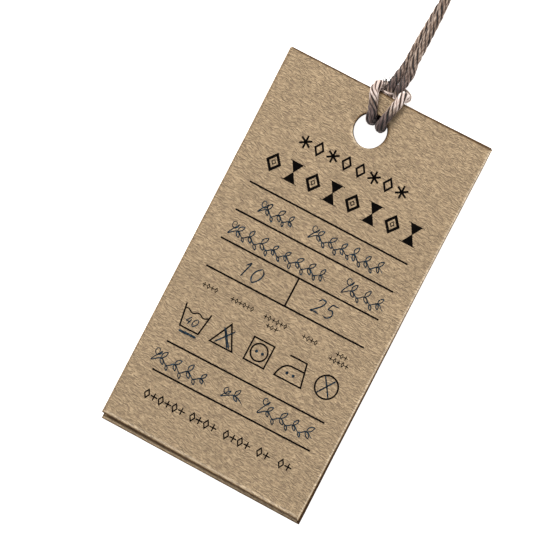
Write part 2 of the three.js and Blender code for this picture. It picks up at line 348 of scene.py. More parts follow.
def lay_up_plies(body, line, tangents, normals, phase, run, spread=None):
    """Six plies round the string's line. spread moves them apart where the twist comes undone."""
    across = np.cross(tangents, normals)
    spread = np.ones(len(line)) if spread is None else spread

    # Slow waves let each ply stray and swell in places of its own.
    for ply in range(PLY_COUNT):
        stray = PLY_STRAYS_RAD * np.sin(run * 0.83 + ply * 2.1) * np.cos(run * 0.31 + ply)
        angle = (phase + stray + 2 * math.pi * ply / PLY_COUNT)[:, None]
        outward = normals * np.cos(angle) + across * np.sin(angle)
        swell = 1 + PLY_LONG_SWELL * np.sin(run * 1.9 + ply * 2)
        swell = swell + PLY_SHORT_SWELL * np.sin(run * 5.1 + ply)
        centre = line + outward * (PLY_OFFSET_MM * spread)[:, None]
        radii = PLY_RADIUS_MM * swell
        ply_run = run + PLY_RUNS_APART_MM * ply
        tube = tube_along(centre, outward, radii, PLY_SIDES, ply_run, YARN_TWIST_MM)
        add_tube(body, *tube, PLY_SIDES)


def add_hair(body, root, heading, length, radius, exposure=0.8):
    """One loose fibre that stands off the string and curls. exposure sets its painted shade, lower being
    darker, as if less light got to it.
    """
    curl = Vector([lint.uniform(-1, 1) for _ in range(3)])
    line = []
    for t in (0, 0.25, 0.5, 0.75, 1):
        line.append(root + heading * length * t + curl * length * HAIR_CURL * t * t)
    line = np.array(line)
    outward = np.cross(np.gradient(line, axis=0), tuple(curl))
    radii = radius * np.array(HAIR_THINS)
    run = np.linspace(0, length, len(line)) + lint.uniform(0, 90)
    points, place, facing = tube_along(line, outward, radii, HAIR_SIDES, run, YARN_TWIST_MM)
    add_tube(body, points, place, facing * 0 + exposure, HAIR_SIDES)


def scatter_hairs(body, line, tangents, normals, per_mm, longest, bare=None):
    """Loose fibres all along a stretch, but none under the string where it lies on the table."""
    across = np.cross(tangents, normals)
    for _ in range(round(len(line) * LINE_STEP_MM * per_mm)):
        i = lint.randrange(3, len(line) - 3)
        angle = lint.uniform(0, 2 * math.pi)
        out = normals[i] * math.cos(angle) + across[i] * math.sin(angle)
        root = Vector(line[i] + out * (PLY_OFFSET_MM + PLY_RADIUS_MM * 0.6))
        if root.z < 1.2 * STRING_RADIUS_MM and out[2] < 0:
            continue
        if bare is not None and bare[i]:
            continue
        heading = Vector(out * 0.7 + tangents[i] * lint.uniform(-1, 1)).normalized()
        add_hair(body, root, heading, lint.uniform(0.3, 1) * longest, HAIR_RADIUS_MM)


def card_place(points):
    """How far points are beyond the cards' top edge, and above the back of the back card."""
    raised = points - TOP_EDGE_PLACE_MM
    beyond = raised[:, 1] * math.cos(lean) + raised[:, 2] * math.sin(lean)
    above = raised[:, 2] * math.cos(lean) - raised[:, 1] * math.sin(lean)
    return beyond, above


def rise(values, start, stop):
    """0 up to the start, 1 from the stop on, and evenly from one to the other between them."""
    return np.clip((values - start) / (stop - start), 0, 1)


def painted_light_at(points):
    """Painted light on the string: 1 for a painted highlight, 0 as made, -1 for painted shade."""
    y, z = card_place(points)
    from_pair = np.abs(points[:, 0] - TOP_EDGE_PLACE_MM[0] - LEG_PAIR_X_MM)

    # On the face the painted light goes from painted shade by the hole to a painted highlight at the top
    # edge. Inside the hole it is painted shade.
    on_face = rise(y, -4.2, -0.8) * 1.9 - 0.9
    in_hole = rise(-z, -stack_mm - 0.5, -stack_mm + 0.3) * rise(-y, 1.5, 2.5)
    wear = on_face * (1 - in_hole) - in_hole

    # Behind the cards the crossbar is nearly as made.
    round_bar = rise(y, 0.9, 1.9) * rise(-z, -1.4, 0)
    wear = wear * (1 - round_bar) + 0.15 * round_bar

    # The legs are in painted shade where they come out over the crossbar, and as made 11 mm further on.
    in_legs = rise(y, 0.6, 1.8) * rise(-from_pair, -2.3, -1.9)
    in_legs = np.maximum(in_legs, rise(y, 3.4, 4.4))
    leg_painted_shade = np.interp(y, (1.5, 4.0, 7.0, 11.0), (-1.0, -0.75, -0.3, 0.0))
    return wear * (1 - in_legs) + leg_painted_shade * in_legs


def string_piece(name, body):
    """A mesh object in metres, with what the material needs to know kept at each point."""
    mesh = bpy.data.meshes.new(name)
    points = np.array(body["points"])
    mesh.from_pydata([tuple(p) for p in points * METRES_PER_MM], [], body["faces"])
    with_painted_light = mesh.attributes.new("wear", "FLOAT", "POINT")
    with_painted_light.data.foreach_set("value", painted_light_at(points).astype(np.float32))
    place = mesh.attributes.new("ply_place", "FLOAT_VECTOR", "POINT")
    place.data.foreach_set("vector", np.array(body["place"], np.float32).ravel())
    facing = mesh.attributes.new("ply_facing", "FLOAT", "POINT")
    facing.data.foreach_set("value", np.array(body["facing"], np.float32))
    mesh.polygons.foreach_set("use_smooth", [True] * len(mesh.polygons))
    piece = bpy.data.objects.new(name, mesh)
    bpy.context.collection.objects.link(piece)
    return piece


def empty_body():
    """Where the points and faces of one piece of string are gathered."""
    return {"points": [], "faces": [], "place": [], "facing": []}


def linear(hex_colour):
    """An sRGB hex colour as the linear colour that a shader takes."""
    parts = [int(hex_colour[i : i + 2], 16) / 255 for i in (1, 3, 5)]
    curve = [c / 12.92 if c <= 0.04045 else ((c + 0.055) / 1.055) ** 2.4 for c in parts]
    return (*curve, 1.0)


def add_node(tree, kind, settings=None, links=None):
    """A node with its settings, by attribute or by socket, and what is plugged into it."""
    node = tree.nodes.new(kind)
    for key, value in (settings or {}).items():
        if isinstance(key, str) and hasattr(node, key):
            setattr(node, key, value)
        else:
            node.inputs[key].default_value = value
    for key, source in (links or {}).items():
        tree.links.new(source, node.inputs[key])
    return node


def set_ramp(node, stops):
    """Sets a colour ramp's stops: (position, hex colour)."""
    elements = node.color_ramp.elements
    while len(elements) < len(stops):
        elements.new(0.5)
    for element, (position, colour) in zip(elements, stops):
        element.position = position
        element.color = linear(colour)


def new_material(name):
    """An empty node material and its output node."""
    material = bpy.data.materials.new(name)
    material.use_nodes = True
    material.node_tree.nodes.clear()
    output = add_node(material.node_tree, "ShaderNodeOutputMaterial")
    return material, material.node_tree, output


def twisted_cotton():
    """Unbleached cotton, spun and plied: matt, with fine fibres that follow each ply."""
    material, tree, output = new_material("twisted_natural_cotton")
    place = add_node(tree, "ShaderNodeAttribute", {"attribute_name": "ply_place"})
    facing = add_node(tree, "ShaderNodeAttribute", {"attribute_name": "ply_facing"})

    # Fibres about 0.1 mm wide, which is as fine as shows, and 2 mm long. Patches of a tone are
    # a little over 1 mm long.
    drawn_out = add_node(
        tree, "ShaderNodeVectorMath", {"operation": "MULTIPLY", 1: (1.0, 1.0, 0.16)},
        {0: place.outputs["Vector"]},
    )
    fibres = add_node(
        tree, "ShaderNodeTexNoise", {"Scale": 3.4, "Detail": 3.0, "Roughness": 0.6},
        {"Vector": drawn_out.outputs[0]},
    )
    patches = add_node(
        tree, "ShaderNodeTexNoise", {"Scale": 0.8, "Detail": 1.0}, {"Vector": place.outputs["Vector"]},
    )
    tone = add_node(
        tree, "ShaderNodeMath", {"operation": "MULTIPLY_ADD", 1: 0.6},
        {0: patches.outputs["Fac"], 2: fibres.outputs["Fac"]},
    )

    # Painted shade darkens it inside the hole and where the legs leave the crossbar, and a painted
    # highlight makes it pale where it bends over the top edge.
    wear = add_node(tree, "ShaderNodeAttribute", {"attribute_name": "wear"})
    as_made = add_node(tree, "ShaderNodeValToRGB", {}, {"Fac": tone.outputs[0]})
    set_ramp(as_made, [(0.52, "#443329"), (0.75, "#776050"), (1.0, "#c9b4a2")])
    painted_highlight_ramp = add_node(tree, "ShaderNodeValToRGB", {}, {"Fac": tone.outputs[0]})
    set_ramp(painted_highlight_ramp, [(0.52, "#9c8174"), (0.75, "#e0c9bd"), (1.0, "#fff6f0")])
    painted_shade_ramp = add_node(tree, "ShaderNodeValToRGB", {}, {"Fac": tone.outputs[0]})
    set_ramp(painted_shade_ramp, [(0.52, "#1c1012"), (0.75, "#3f2d2d"), (1.0, "#806a64")])
    highlight_share = add_node(
        tree, "ShaderNodeMapRange", {"From Min": 0.0, "From Max": 1.0}, {"Value": wear.outputs["Fac"]}
    )
    shade_share = add_node(
        tree, "ShaderNodeMapRange", {"From Min": 0.0, "From Max": -1.0}, {"Value": wear.outputs["Fac"]}
    )
    part_highlighted = add_node(
        tree, "ShaderNodeMix", {"data_type": "RGBA"},
        {"Factor": highlight_share.outputs[0], 6: as_made.outputs["Color"], 7: painted_highlight_ramp.outputs["Color"]},
    )
    with_painted_light = add_node(
        tree, "ShaderNodeMix", {"data_type": "RGBA"},
        {"Factor": shade_share.outputs[0], 6: part_highlighted.outputs[2], 7: painted_shade_ramp.outputs["Color"]},
    )

    # Painted shade darkens the grooves between the plies; a ply's outer side keeps its full colour.
    groove = add_node(
        tree, "ShaderNodeMapRange",
        {"interpolation_type": "SMOOTHSTEP", "From Min": 0.1, "From Max": 1.0},
        {"Value": facing.outputs["Fac"]},
    )
    shade = add_node(tree, "ShaderNodeValToRGB", {}, {"Fac": groove.outputs[0]})
    set_ramp(shade, [(0.0, "#271a13"), (0.45, "#806656"), (0.92, "#ffffff")])
    shaded = add_node(
        tree, "ShaderNodeMix", {"data_type": "RGBA", "blend_type": "MULTIPLY", "Factor": 1.0},
        {6: with_painted_light.outputs[2], 7: shade.outputs["Color"]},
    )

    relief = add_node(
        tree, "ShaderNodeBump", {"Strength": 0.8, "Distance": FIBRE_RELIEF_M},
        {"Height": fibres.outputs["Fac"]},
    )
    cloth = {"Roughness": 0.82, "IOR": 1.5, "Sheen Weight": 0.25, "Sheen Roughness": 0.5}
    links = {"Base Color": shaded.outputs[2], "Normal": relief.outputs[0]}
    shader = add_node(tree, "ShaderNodeBsdfPrincipled", cloth, links)
    tree.links.new(shader.outputs[0], output.inputs[0])
    return material


cotton = twisted_cotton()
string_tangents, string_normals = carried_normals(string_line)
string_run = np.arange(len(string_line)) * LINE_STEP_MM
in_hitch = np.interp(
    np.arange(len(string_line)),
    [left_cut_at - LAY_CHANGES_SAMPLES, left_cut_at, right_cut_at, right_cut_at + LAY_CHANGES_SAMPLES],
    [0, 1, 1, 0],
)
lay = LAY_IN_LEGS_MM + (LAY_IN_HITCH_MM - LAY_IN_LEGS_MM) * in_hitch
string_phase = -np.cumsum(2 * math.pi * LINE_STEP_MM / lay)


def stretch(start, stop):
    """The string's line, directions, twist and running length between two samples."""
    part = slice(start, stop + 1)
    along = (string_line, string_tangents, string_normals, string_phase, string_run)
    return tuple(values[part] for values in along)


# Hitch. The string grips the strip of card between the hole and the top edge. A few yarn ends
# have worn loose where the crossbar bends behind the cards, and dark fluff along it is painted shadow,
# filling the gap between the crossbar and the top edge.

# Each worn end: a place on the card that it passes, a little past its root, and its length.
WORN_ENDS_MM = [
    (-3.5, 2.1, 1.0, 1.3), (-3.1, 2.6, 0.6, 1.5), (-2.6, 2.8, 0.2, 1.8), (-2.2, 2.9, 0.0, 1.3),
    (-1.8, 3.0, -0.2, 2.0), (-1.4, 3.0, -0.4, 2.1), (-1.0, 3.0, -0.6, 1.4),
]
YARN_END_RADIUS_MM = 0.13
YARN_END_ROOT_MM = 0.35
YARN_END_EXPOSURE = 0.2
STANDS_PROUD_MM = 0.22
CLEAR_OF_CARDS_MM = 1.3
EASES_OVER_MM = 0.5
STRIP_MIDDLE_MM = -2.3
PLIES_OPEN_IN_HITCH = 0.1
HITCH_IS_BARE_ABOVE = 0.1
SLIPPED_YARN_MM = [
    (-3.2, 1.0, -0.4), (-2.5, 0.62, 0.6), (-1.6, 0.5, 1.1), (-0.8, 0.52, 0.9), (-0.3, 0.8, 0.0),
]
SLIPPED_RADIUS_MM = 0.26
SLIPPED_SIDES = 8
SLIPPED_EXPOSURE = 0.9
SHADOW_FLUFF_COUNT = 120
SHADOW_FLUFF_RADIUS_MM = 0.1
SHADOW_FLUFF_EXPOSURE = 0.35

hitch_body = empty_body()
hitch_line, hitch_tangents, hitch_normals, hitch_phase, hitch_run = stretch(left_cut_at, right_cut_at)
from_cut = np.minimum(np.arange(len(hitch_line)), np.arange(len(hitch_line))[::-1])
from_cut = np.clip(from_cut / LAY_CHANGES_SAMPLES, 0, 1)

# Its plies stand a little proud, so its line keeps that much further off the edges it passes,
# which are the top edge on one side of the strip's middle and the hole's on the other. No hairs
# stand there either.
hitch_y, hitch_z = card_place(hitch_line)
passing = rise(hitch_z + CLEAR_OF_CARDS_MM, 0, EASES_OVER_MM)
passing = passing * rise(stack_mm + CLEAR_OF_CARDS_MM - hitch_z, 0, EASES_OVER_MM)
held_off = STANDS_PROUD_MM * passing * from_cut * np.where(hitch_y > STRIP_MIDDLE_MM, 1, -1)
hitch_line = hitch_line + held_off[:, None] * np.array((0, math.cos(lean), math.sin(lean)))
hitch_stretch = (hitch_line, hitch_tangents, hitch_normals, hitch_phase, hitch_run)
lay_up_plies(hitch_body, *hitch_stretch, spread=1 + PLIES_OPEN_IN_HITCH * from_cut)
scatter_hairs(hitch_body, *hitch_stretch[:3], per_mm=1.1, longest=0.7, bare=passing > HITCH_IS_BARE_ABOVE)
for x, y, z, length in WORN_ENDS_MM:
    root = Vector(off_card([(x, y - YARN_END_ROOT_MM, z)])[0])
    for _ in range(2):
        heading = Vector((lint.uniform(-0.5, 0.5), 0.9, lint.uniform(0.1, 0.5))).normalized()
        worn_length = length * lint.uniform(0.7, 1)
        add_hair(hitch_body, root, heading, worn_length, YARN_END_RADIUS_MM, YARN_END_EXPOSURE)
# Dark fluff behind the top edge, where there is only shade: painted shadow.
for _ in range(SHADOW_FLUFF_COUNT):
    x = lint.uniform(-4.0, 2.5)
    root = Vector(off_card([(x, lint.uniform(0.3, 1.7), lint.uniform(-2.2, -1.2))])[0])
    heading = Vector((lint.uniform(-0.9, 0.9), -0.8, lint.uniform(-0.1, 0.3))).normalized()
    add_hair(hitch_body, root, heading, lint.uniform(1.0, 1.7), SHADOW_FLUFF_RADIUS_MM, SHADOW_FLUFF_EXPOSURE)

# One yarn has slipped out of the crossbar and lies along the top edge.
slipped = smooth_line(off_card(SLIPPED_YARN_MM), LINE_STEP_MM)
slipped_normals = carried_normals(slipped)[1]
slipped_run = np.arange(len(slipped)) * LINE_STEP_MM
slipped_radii = np.full(len(slipped), SLIPPED_RADIUS_MM)
points, place, facing = tube_along(
    slipped, slipped_normals, slipped_radii, SLIPPED_SIDES, slipped_run, YARN_TWIST_MM
)
add_tube(hitch_body, points, place, facing * 0 + SLIPPED_EXPOSURE, SLIPPED_SIDES)
hitch = string_piece("hitch_of_twisted_string", hitch_body)
hitch.data.materials.append(cotton)
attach(hitch, "string")
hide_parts("string_hitch")


# Knot. Both ends are tied together in one overhand knot, drawn tight, and trimmed to tails
# of 8 mm whose plies have begun to open.

KNOT_TURNS = 1.25
WRAP_STARTS_MM = 1.2
WRAP_PITCH_MM = 3.6
WRAP_STEPS = 30
TAIL_OPENS_MM = 2.5
TAIL_OPENS_BY = 0.35
CUT_END_FIBRES = 26
CUT_FIBRE_RADIUS_MM = 0.035

knot_body = empty_body()
knot_place = (left_leg_points[-1] + right_leg_points[-1]) / 2 + (0, CUT_FACE_GAP_MM, 0)


def wrap_line(start):
    """A turn and a quarter round the oval of the knot, with a ninth tucked in at both ends."""
    points = []
    for i in range(WRAP_STEPS + 1):
        share = i / WRAP_STEPS
        angle = 2 * math.pi * KNOT_TURNS * share - math.pi / 4
        tuck = 1 - 0.5 * max(0, 1 - 9 * share) - 0.5 * max(0, 9 * share - 8)
        x = KNOT_HALF_WIDTH_MM * tuck * math.cos(angle)
        y = WRAP_STARTS_MM + start + STRING_RADIUS_MM + WRAP_PITCH_MM * KNOT_TURNS * share
        points.append((x, y, KNOT_HALF_HEIGHT_MM * tuck * math.sin(angle)))
    return smooth_line(knot_place + np.array(points), LINE_STEP_MM)


for wrap_start in (0, 2 * STRING_RADIUS_MM):
    wrap = wrap_line(wrap_start)
    wrap_tangents, wrap_normals = carried_normals(wrap)
    wrap_run = np.arange(len(wrap)) * LINE_STEP_MM
    wrap_phase = -2 * math.pi * wrap_run / LAY_IN_HITCH_MM
    lay_up_plies(knot_body, wrap, wrap_tangents, wrap_normals, wrap_phase, wrap_run)
    scatter_hairs(knot_body, wrap, wrap_tangents, wrap_normals, per_mm=0.8, longest=0.8)

for start, stop in ((0, left_knot_at), (right_knot_at, len(string_line) - 1)):
    strand = stretch(start, stop)
    from_end = np.arange(len(strand[0])) * LINE_STEP_MM
    from_end = from_end if start == 0 else from_end[::-1]
    opening = 1 + TAIL_OPENS_BY * np.clip(1 - from_end / TAIL_OPENS_MM, 0, 1) ** 2
    lay_up_plies(knot_body, *strand, spread=opening)
    scatter_hairs(knot_body, *strand[:3], per_mm=0.9, longest=0.9)
    end = 0 if start == 0 else -1
    away = strand[1][end] * (-1 if start == 0 else 1)
    for _ in range(CUT_END_FIBRES):
        sideways = np.array([lint.uniform(-0.55, 0.55), 0, lint.uniform(0, 0.6)])
        root = Vector(strand[0][end] + sideways - away * 0.25)
        heading = Vector(away + sideways * 0.5).normalized()
        add_hair(knot_body, root, heading, lint.uniform(0.5, 1.1), CUT_FIBRE_RADIUS_MM)

knot = string_piece("knot_of_twisted_string", knot_body)
knot.data.materials.append(cotton)
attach(knot, "string")
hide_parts("end_knot")


# Free legs. Each is 61 mm of the same string, held in the hitch at one end and in the knot at
# the other, and lies on the table in a slim open loop in line with the tag. Where they leave
# the hitch side by side, their fibres are matted together.

MATTED_SAMPLES = 40
MATTED_RADIUS_MM = 0.08

for side, start, stop in (("left", left_knot_at, left_cut_at), ("right", right_cut_at, right_knot_at)):
    leg_body = empty_body()
    leg_stretch = stretch(start, stop)
    lay_up_plies(leg_body, *leg_stretch)
    for i in range(MATTED_SAMPLES):
        here = right_cut_at + i
        between = (string_line[left_cut_at - i] + string_line[here]) / 2
        root = Vector(between + np.array([lint.uniform(-0.12, 0.12) for _ in range(3)]))
        heading = Vector(string_tangents[here]).normalized()
        add_hair(leg_body, root, heading, lint.uniform(0.8, 1.4), MATTED_RADIUS_MM)
    scatter_hairs(leg_body, *leg_stretch[:3], per_mm=0.8, longest=0.8)
    leg = string_piece(f"{side}_leg_of_twisted_string", leg_body)
    leg.data.materials.append(cotton)
    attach(leg, "string")
    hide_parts(f"string_leg_{side}")


# Cards. Each is a piece of 0.8 mm kraft board with a fine crepe grain pressed into its face.
# A cutting die gave them square corners and the round hole, and rolled the cut edge a little.
# The back card sticks out by a millimetre at the foot, and the two are fanned by half a degree.

CARD_WIDTH_MM = 50.0
FRONT_CARD_LENGTH_MM = 90.0
FANNED_EACH_WAY_DEG = 0.25
SWING_CENTRE_MM = (LEG_PAIR_X_MM, HOLE_RADIUS_MM - WRAP_RADIUS_MM - HOLE_TO_TOP_EDGE_MM)
CUT_WANDER_MM = 0.02
WANDER_WAVES = 5
CORNER_STEPS_MM = (0.0, 0.3, 0.8, 1.6)
PAST_CORNER_MM = 3.0
SIDE_STEP_MM = 1.5
HOLE_POINTS = 120

# The rolled edge, from the back round to the front: inset, and height over the card's back.
# The foot of the front card took the die's full blow, so its edge is rolled down further.
CRISP_EDGE = [
    (0.5, 0.0), (0.1, 0.0), (0.02, 0.02), (0.0, 0.08), (0.0, 0.4), (0.0, 0.7),
    (0.03, 0.77), (0.1, 0.797), (0.22, 0.8), (0.36, 0.8), (0.55, 0.8), (0.75, 0.8), (1.05, 0.8),
]
ROLLED_FOOT = [
    (0.5, 0.0), (0.1, 0.0), (0.02, 0.02), (0.0, 0.08), (0.0, 0.25), (0.0, 0.4),
    (0.04, 0.48), (0.12, 0.57), (0.26, 0.67), (0.42, 0.74), (0.6, 0.785), (0.8, 0.8), (1.1, 0.8),
]
WALL_RINGS = range(1, 6)

# How much darker or paler the face is along each side: inset and tone. This is painted light:
# painted highlights and dark lines of painted shadow along the front card's right side and foot, darker
# along its top and left, and painted shade over the back card, which the rings carry across its whole
# faces.
FRONT_RIM_PAINTED_LIGHT = {
    "right": [(0.0, 0.35), (0.03, 1.4), (0.1, 1.7), (0.22, 1.6), (0.36, 1.15), (0.55, 1.0)],
    "top": [(0.0, 0.2), (0.22, 0.3), (0.36, 0.75), (0.55, 1.0), (0.75, 1.0)],
    "left": [(0.0, 0.9), (0.22, 0.82), (0.36, 0.88), (0.55, 1.03), (0.75, 1.0)],
    "foot": [(0.0, 0.15), (0.12, 0.2), (0.26, 0.5), (0.42, 1.1), (0.6, 1.5), (0.8, 1.35), (1.1, 1.0)],
}
BACK_RIM_PAINTED_LIGHT = {
    "right": [(0.0, 0.25), (0.36, 0.2), (0.75, 0.15)],
    "top": [(0.0, 0.3), (0.5, 0.5)],
    "left": [(0.0, 0.7), (0.5, 0.8)],
    "foot": [(0.0, 0.35), (0.22, 0.5), (0.36, 1.2), (0.6, 1.2), (0.8, 0.4), (1.1, 0.2)],
}

# Round the front card's hole, at the same insets: painted shade on the rim at the upper left,
# a darker band on the right, and a painted highlight at the lower left. The back card's hole rim is in
# painted shade all round.
HOLE_INSETS_MM = (0.0, 0.1, 0.22, 0.36, 0.55, 0.75)
UPPER_LEFT_PAINTED_SHADE, UPPER_LEFT_SHADE_AT_DEG = (0.92, 0.9, 0.75, 0.3, 0.0, 0.0), 142
RIGHT_DARKER, RIGHT_DARKER_AT_DEG = (0.75, 0.7, 0.55, 0.35, 0.15, 0.0), 20
LOWER_LEFT_PAINTED_HIGHLIGHT, LOWER_LEFT_HIGHLIGHT_AT_DEG = (0.0, 0.35, 0.6, 0.4, 0.1, 0.0), 225
BACK_HOLE_PAINTED_SHADE = 0.3

die = random.Random(31)


def wander(count):
    """How far a cut line strays, point by point, from the line that it was meant to follow."""
    waves = []
    for _ in range(WANDER_WAVES):
        waves.append((die.uniform(0.5, 4), die.uniform(0, 6.28), die.uniform(0.3, 1)))
    steps = np.linspace(0, 2 * math.pi, count)
    stray = sum(size * np.sin(turns * 3 * steps + start) for turns, start, size in waves)
    from_corner = np.minimum(np.arange(count), count - np.arange(count))
    return stray * np.minimum(from_corner / 4, 1) * CUT_WANDER_MM / 3


def side_shares(length):
    """Places along one side as shares of it, closer together by its corners."""
    near = np.array(CORNER_STEPS_MM) / length
    past_corner = PAST_CORNER_MM / length
    middle = np.linspace(past_corner, 1 - past_corner, round(length / SIDE_STEP_MM))
    return np.concatenate([near, middle, 1 - near[:0:-1]])


def swung(points, degrees):
    """Turns points on a card about the place where the string holds it."""
    angle = math.radians(degrees)
    x, y = points[:, 0] - SWING_CENTRE_MM[0], points[:, 1] - SWING_CENTRE_MM[1]
    turned_x = x * math.cos(angle) - y * math.sin(angle) + SWING_CENTRE_MM[0]
    turned_y = x * math.sin(angle) + y * math.cos(angle) + SWING_CENTRE_MM[1]
    return np.stack([turned_x, turned_y, points[:, 2]], axis=1)


def rim_tone(tones, side, edge):
    """The tone that a side's table gives at one ring of the rolled edge."""
    insets, shades = zip(*tones[side])
    return float(np.interp(edge[0], insets, shades))


def outline_tones(length, tones, edge, foot):
    """The face's painted highlight and shade at each point of one line round the card."""
    tall, wide = len(side_shares(length)), len(side_shares(CARD_WIDTH_MM))
    shades = []
    for side, count in (("right", tall), ("top", wide), ("left", tall)):
        shades += [rim_tone(tones, side, edge)] * count
    return shades + [rim_tone(tones, "foot", foot)] * wide


def toward(angles, degrees):
    """1 where the rim of the hole faces a way, down to 0 a quarter turn from there."""
    return np.clip(np.cos(angles - math.radians(degrees)), 0, 1)


def hole_tones(tones, edge):
    """The face's painted shade and highlight at each point of one line round the hole."""
    if tones is BACK_RIM_PAINTED_LIGHT:
        return [BACK_HOLE_PAINTED_SHADE] * HOLE_POINTS
    angles = np.linspace(0, 2 * math.pi, HOLE_POINTS, endpoint=False)
    line, right_dark, highlight = (
        np.interp(edge[0], HOLE_INSETS_MM, levels) for levels in (UPPER_LEFT_PAINTED_SHADE, RIGHT_DARKER, LOWER_LEFT_PAINTED_HIGHLIGHT)
    )
    darker = line * toward(angles, UPPER_LEFT_SHADE_AT_DEG) ** 3 + right_dark * toward(angles, RIGHT_DARKER_AT_DEG) ** 2
    lighter = highlight * toward(angles, LOWER_LEFT_HIGHLIGHT_AT_DEG) ** 2
    return list(1 + lighter - darker)


def outline_ring(length, middle, strays, edge, foot):
    """One closed line round the card: up the right side, over the top, down, along the foot."""
    half = CARD_WIDTH_MM / 2
    low, high = -length + foot[0], -edge[0]
    left, right = middle - half + edge[0], middle + half - edge[0]
    tall, wide = side_shares(length), side_shares(CARD_WIDTH_MM)
    points = [(right + s, low + (high - low) * t, edge[1]) for t, s in zip(tall, strays[0])]
    points += [(right + (left - right) * t, high + s, edge[1]) for t, s in zip(wide, strays[1])]
    points += [(left + s, high + (low - high) * t, edge[1]) for t, s in zip(tall, strays[2])]
    points += [(left + (right - left) * t, low + s, foot[1]) for t, s in zip(wide, strays[3])]
    points[0] = (points[0][0], points[0][1], foot[1])
    return points


def hole_ring(middle, strays, edge):
    """One closed line round the hole."""
    angles = np.linspace(0, 2 * math.pi, HOLE_POINTS, endpoint=False)
    radius = HOLE_RADIUS_MM + edge[0] + strays
    x = radius * np.cos(angles) + middle - HOLE_LEFT_OF_MIDDLE_MM
    y = radius * np.sin(angles) - HOLE_TO_TOP_EDGE_MM
    return [(a, b, edge[1]) for a, b in zip(x, y)]


def die_cut_card(name, length, middle, bottom_mm, swing_deg, foot_edge, tones, materials):
    """A card: rings from the back to the front round its outline and its hole, and two flat faces.
    Its three materials are the face's, the outer cut edge's and the hole's wall."""
    counts = [len(side_shares(length)), len(side_shares(CARD_WIDTH_MM))] * 2
    strays = [wander(count) for count in counts]
    hole_strays = wander(HOLE_POINTS)
    card = bmesh.new()
    loops = {"outline": [], "hole": []}
    shades = []
    for crisp, foot in zip(CRISP_EDGE, foot_edge):
        loops["outline"].append(outline_ring(length, middle, strays, crisp, foot))
        loops["hole"].append(hole_ring(middle, hole_strays, crisp))
        shades += outline_tones(length, tones, crisp, foot)
    for crisp in CRISP_EDGE:
        shades += hole_tones(tones, crisp)
    rings = {}
    for kind, lines in loops.items():
        rings[kind] = []
        for line in lines:
            points = swung(np.array(line) + (0, 0, bottom_mm), swing_deg)
            metres = off_card(points) * METRES_PER_MM
            rings[kind].append([card.verts.new(p) for p in metres])
        for level, (below, above) in enumerate(zip(rings[kind][:-1], rings[kind][1:])):
            for i in range(len(below)):
                j = (i + 1) % len(below)
                corners = (below[i], below[j], above[j], above[i])
                quad = card.faces.new(corners if kind == "outline" else corners[::-1])
                wall = 1 if kind == "outline" else 2
                quad.material_index = wall if level in WALL_RINGS else 0
    for level in (0, -1):
        rim = []
        for kind in ("outline", "hole"):
            ring = rings[kind][level]
            rim += [card.edges.get((ring[i - 1], ring[i])) for i in range(len(ring))]
        bmesh.ops.triangle_fill(card, edges=rim, use_beauty=True, normal=(0, 0, 1 if level else -1))
    bmesh.ops.recalc_face_normals(card, faces=card.faces)
    for polygon in card.faces:
        polygon.smooth = True
    mesh = bpy.data.meshes.new(name)
    card.to_mesh(mesh)
    card.free()
    for material in materials:
        mesh.materials.append(material)
    # The rims' painted highlight and shade, kept at each point.
    tone = mesh.attributes.new("rim_tone", "FLOAT", "POINT")
    tone.data.foreach_set("value", np.array(shades, np.float32))
    piece = bpy.data.objects.new(name, mesh)
    bpy.context.collection.objects.link(piece)
    return piece


RIDGES_PER_MM = (0.7, 3.8, 0.0)
FINE_RIDGES_PER_MM = (1.9, 7.0, 0.0)
FINE_RIDGES_SHARE = 0.55
RIDGES_WANDER_MM = (0.0, 1.5, 0.0)
RIDGES_TURN_DEG = 7
GRAIN_DEPTH_M = 0.00041
PULP_RELIEF_M = 0.00005


